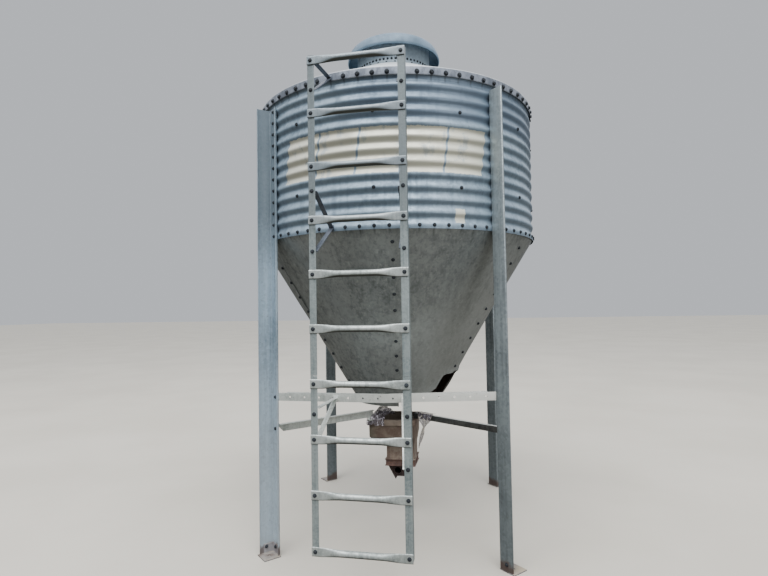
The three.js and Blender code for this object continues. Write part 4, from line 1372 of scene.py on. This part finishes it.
def ladder_bolts():
    sides = (-RAIL_X, RAIL_X)
    rung_heights = [(low.z + high.z) / 2 for low, high in rung_boxes.values()]
    seats = [on_ladder(x, RUNG_FACE_Y, z) for z in rung_heights for x in sides]
    seats += [on_ladder(x, rail_low.y, z) for z in BRACKET_BOLT_HEIGHTS for x in sides]
    return seats + [on_ladder(RAIL_X, rail_low.y, LOWEST_BRACKET_BOLT)]


def frame_bolts():
    """Brace, straps and feet, each on a leg's flange."""
    seats = []
    edge, out = LEG_FLANGE / 2, -LEG_OUTER - FOOT_BOLT_OUT
    foot_seats = [  # x runs round the tank from a leg's bolt line, and -y points outwards
        seat(Vector((0.0, -LEG_OUTER - FOOT_TAB, FOOT_BOLT_Z)), (0, -1, 0)),
        seat(Vector((-edge + LEG_WALL + FOOT_TAB, out, FOOT_BOLT_Z)), (1, 0, 0)),
        seat(Vector((-edge, out, FOOT_BOLT_Z)), (-1, 0, 0)),
    ]
    for corner, turn in CORNERS.items():
        azimuth = LEG_AZIMUTH + turn
        if corner.startswith("front"):
            for heights in (BRACE_BOLT_Z, STRAP_BOLT_Z):
                seats.append(on_tank(azimuth, heights[corner], LEG_OUTER))
        seats += [to_azimuth(azimuth) @ foot_seat for foot_seat in foot_seats]
    return seats


place_bolts("bolts_ladder", ladder_bolts())
place_bolts("bolts_legs", frame_bolts())
bpy.data.objects.remove(bolt)
print("ladder bolts:", 2 * (len(rung_boxes) + len(BRACKET_BOLT_HEIGHTS)) + 1)

# %% [markdown]
# ## Floor, sky and lamps
#
# The silo stood outdoors under thick cloud, so the light is a broad soft sky with hardly any
# shadow. A pale floor bounces a little of it up under the hopper. The background is as pale
# as the cloud.

# %% Stage
FLOOR, FLOOR_WORN = tint(206, 200, 188), tint(198, 192, 180)
FLOOR_BOUNCE = tint(92, 88, 80)  # what the floor throws back up
CLOUD = tint(222, 226, 232)
SKY_SEEN = 0.8
SKY_OVERHEAD, SKY_LEVEL = 1.9, 0.4
LAMPS = {  # place, size, power
    "sky_lamp": ((0.2, -6.0, 14.0), 13.0, 2850.0),
    "front_lamp": ((6.4, -5.6, 1.7), 4.0, 160.0),
}


def camera_ray(tree):
    return Pattern(node(tree, "ShaderNodeLightPath").outputs["Is Camera Ray"])


@finish(0.0, specular=0.2)
def floor_coat(tree, shader):
    shader.inputs["Roughness"].default_value = 0.9
    pale = mix(fade(clouds(tree, 0.7, detail=6.0), 0.3, 0.7), FLOOR, FLOOR_WORN)
    return mix(camera_ray(tree), FLOOR_BOUNCE, pale)


def make_floor():
    bpy.ops.mesh.primitive_plane_add(size=120.0, location=(0.0, 0.0, 0.0))
    floor = bpy.context.object
    floor.name = "studio_floor"
    floor.data.materials.append(floor_coat("floor"))


def make_lamp(name, spot, size, power):
    bpy.ops.object.light_add(type="AREA", location=spot)
    lamp = bpy.context.object
    lamp.name = name
    lamp.data.size = size
    lamp.data.energy = power
    aim = on_axis(1.6) - Vector(spot)
    lamp.rotation_euler = aim.to_track_quat("-Z", "Y").to_euler()


def make_sky():
    world = bpy.data.worlds.new("cloud")
    bpy.context.scene.world = world
    world.use_nodes = True
    tree = world.node_tree
    direction = node(tree, "ShaderNodeTexCoord").outputs["Generated"]
    height = Pattern(node(tree, "ShaderNodeSeparateXYZ", Vector=direction).outputs["Z"])
    glow = fade(height, -0.1, 0.9, SKY_LEVEL, SKY_OVERHEAD)
    background = tree.nodes["Background"]
    background.inputs["Color"].default_value = CLOUD
    plug(background.inputs["Strength"], fade(camera_ray(tree), 0.0, 1.0, glow, SKY_SEEN))


make_floor()
make_sky()
for name, lamp in LAMPS.items():
    make_lamp(name, *lamp)
print("stage is ready")
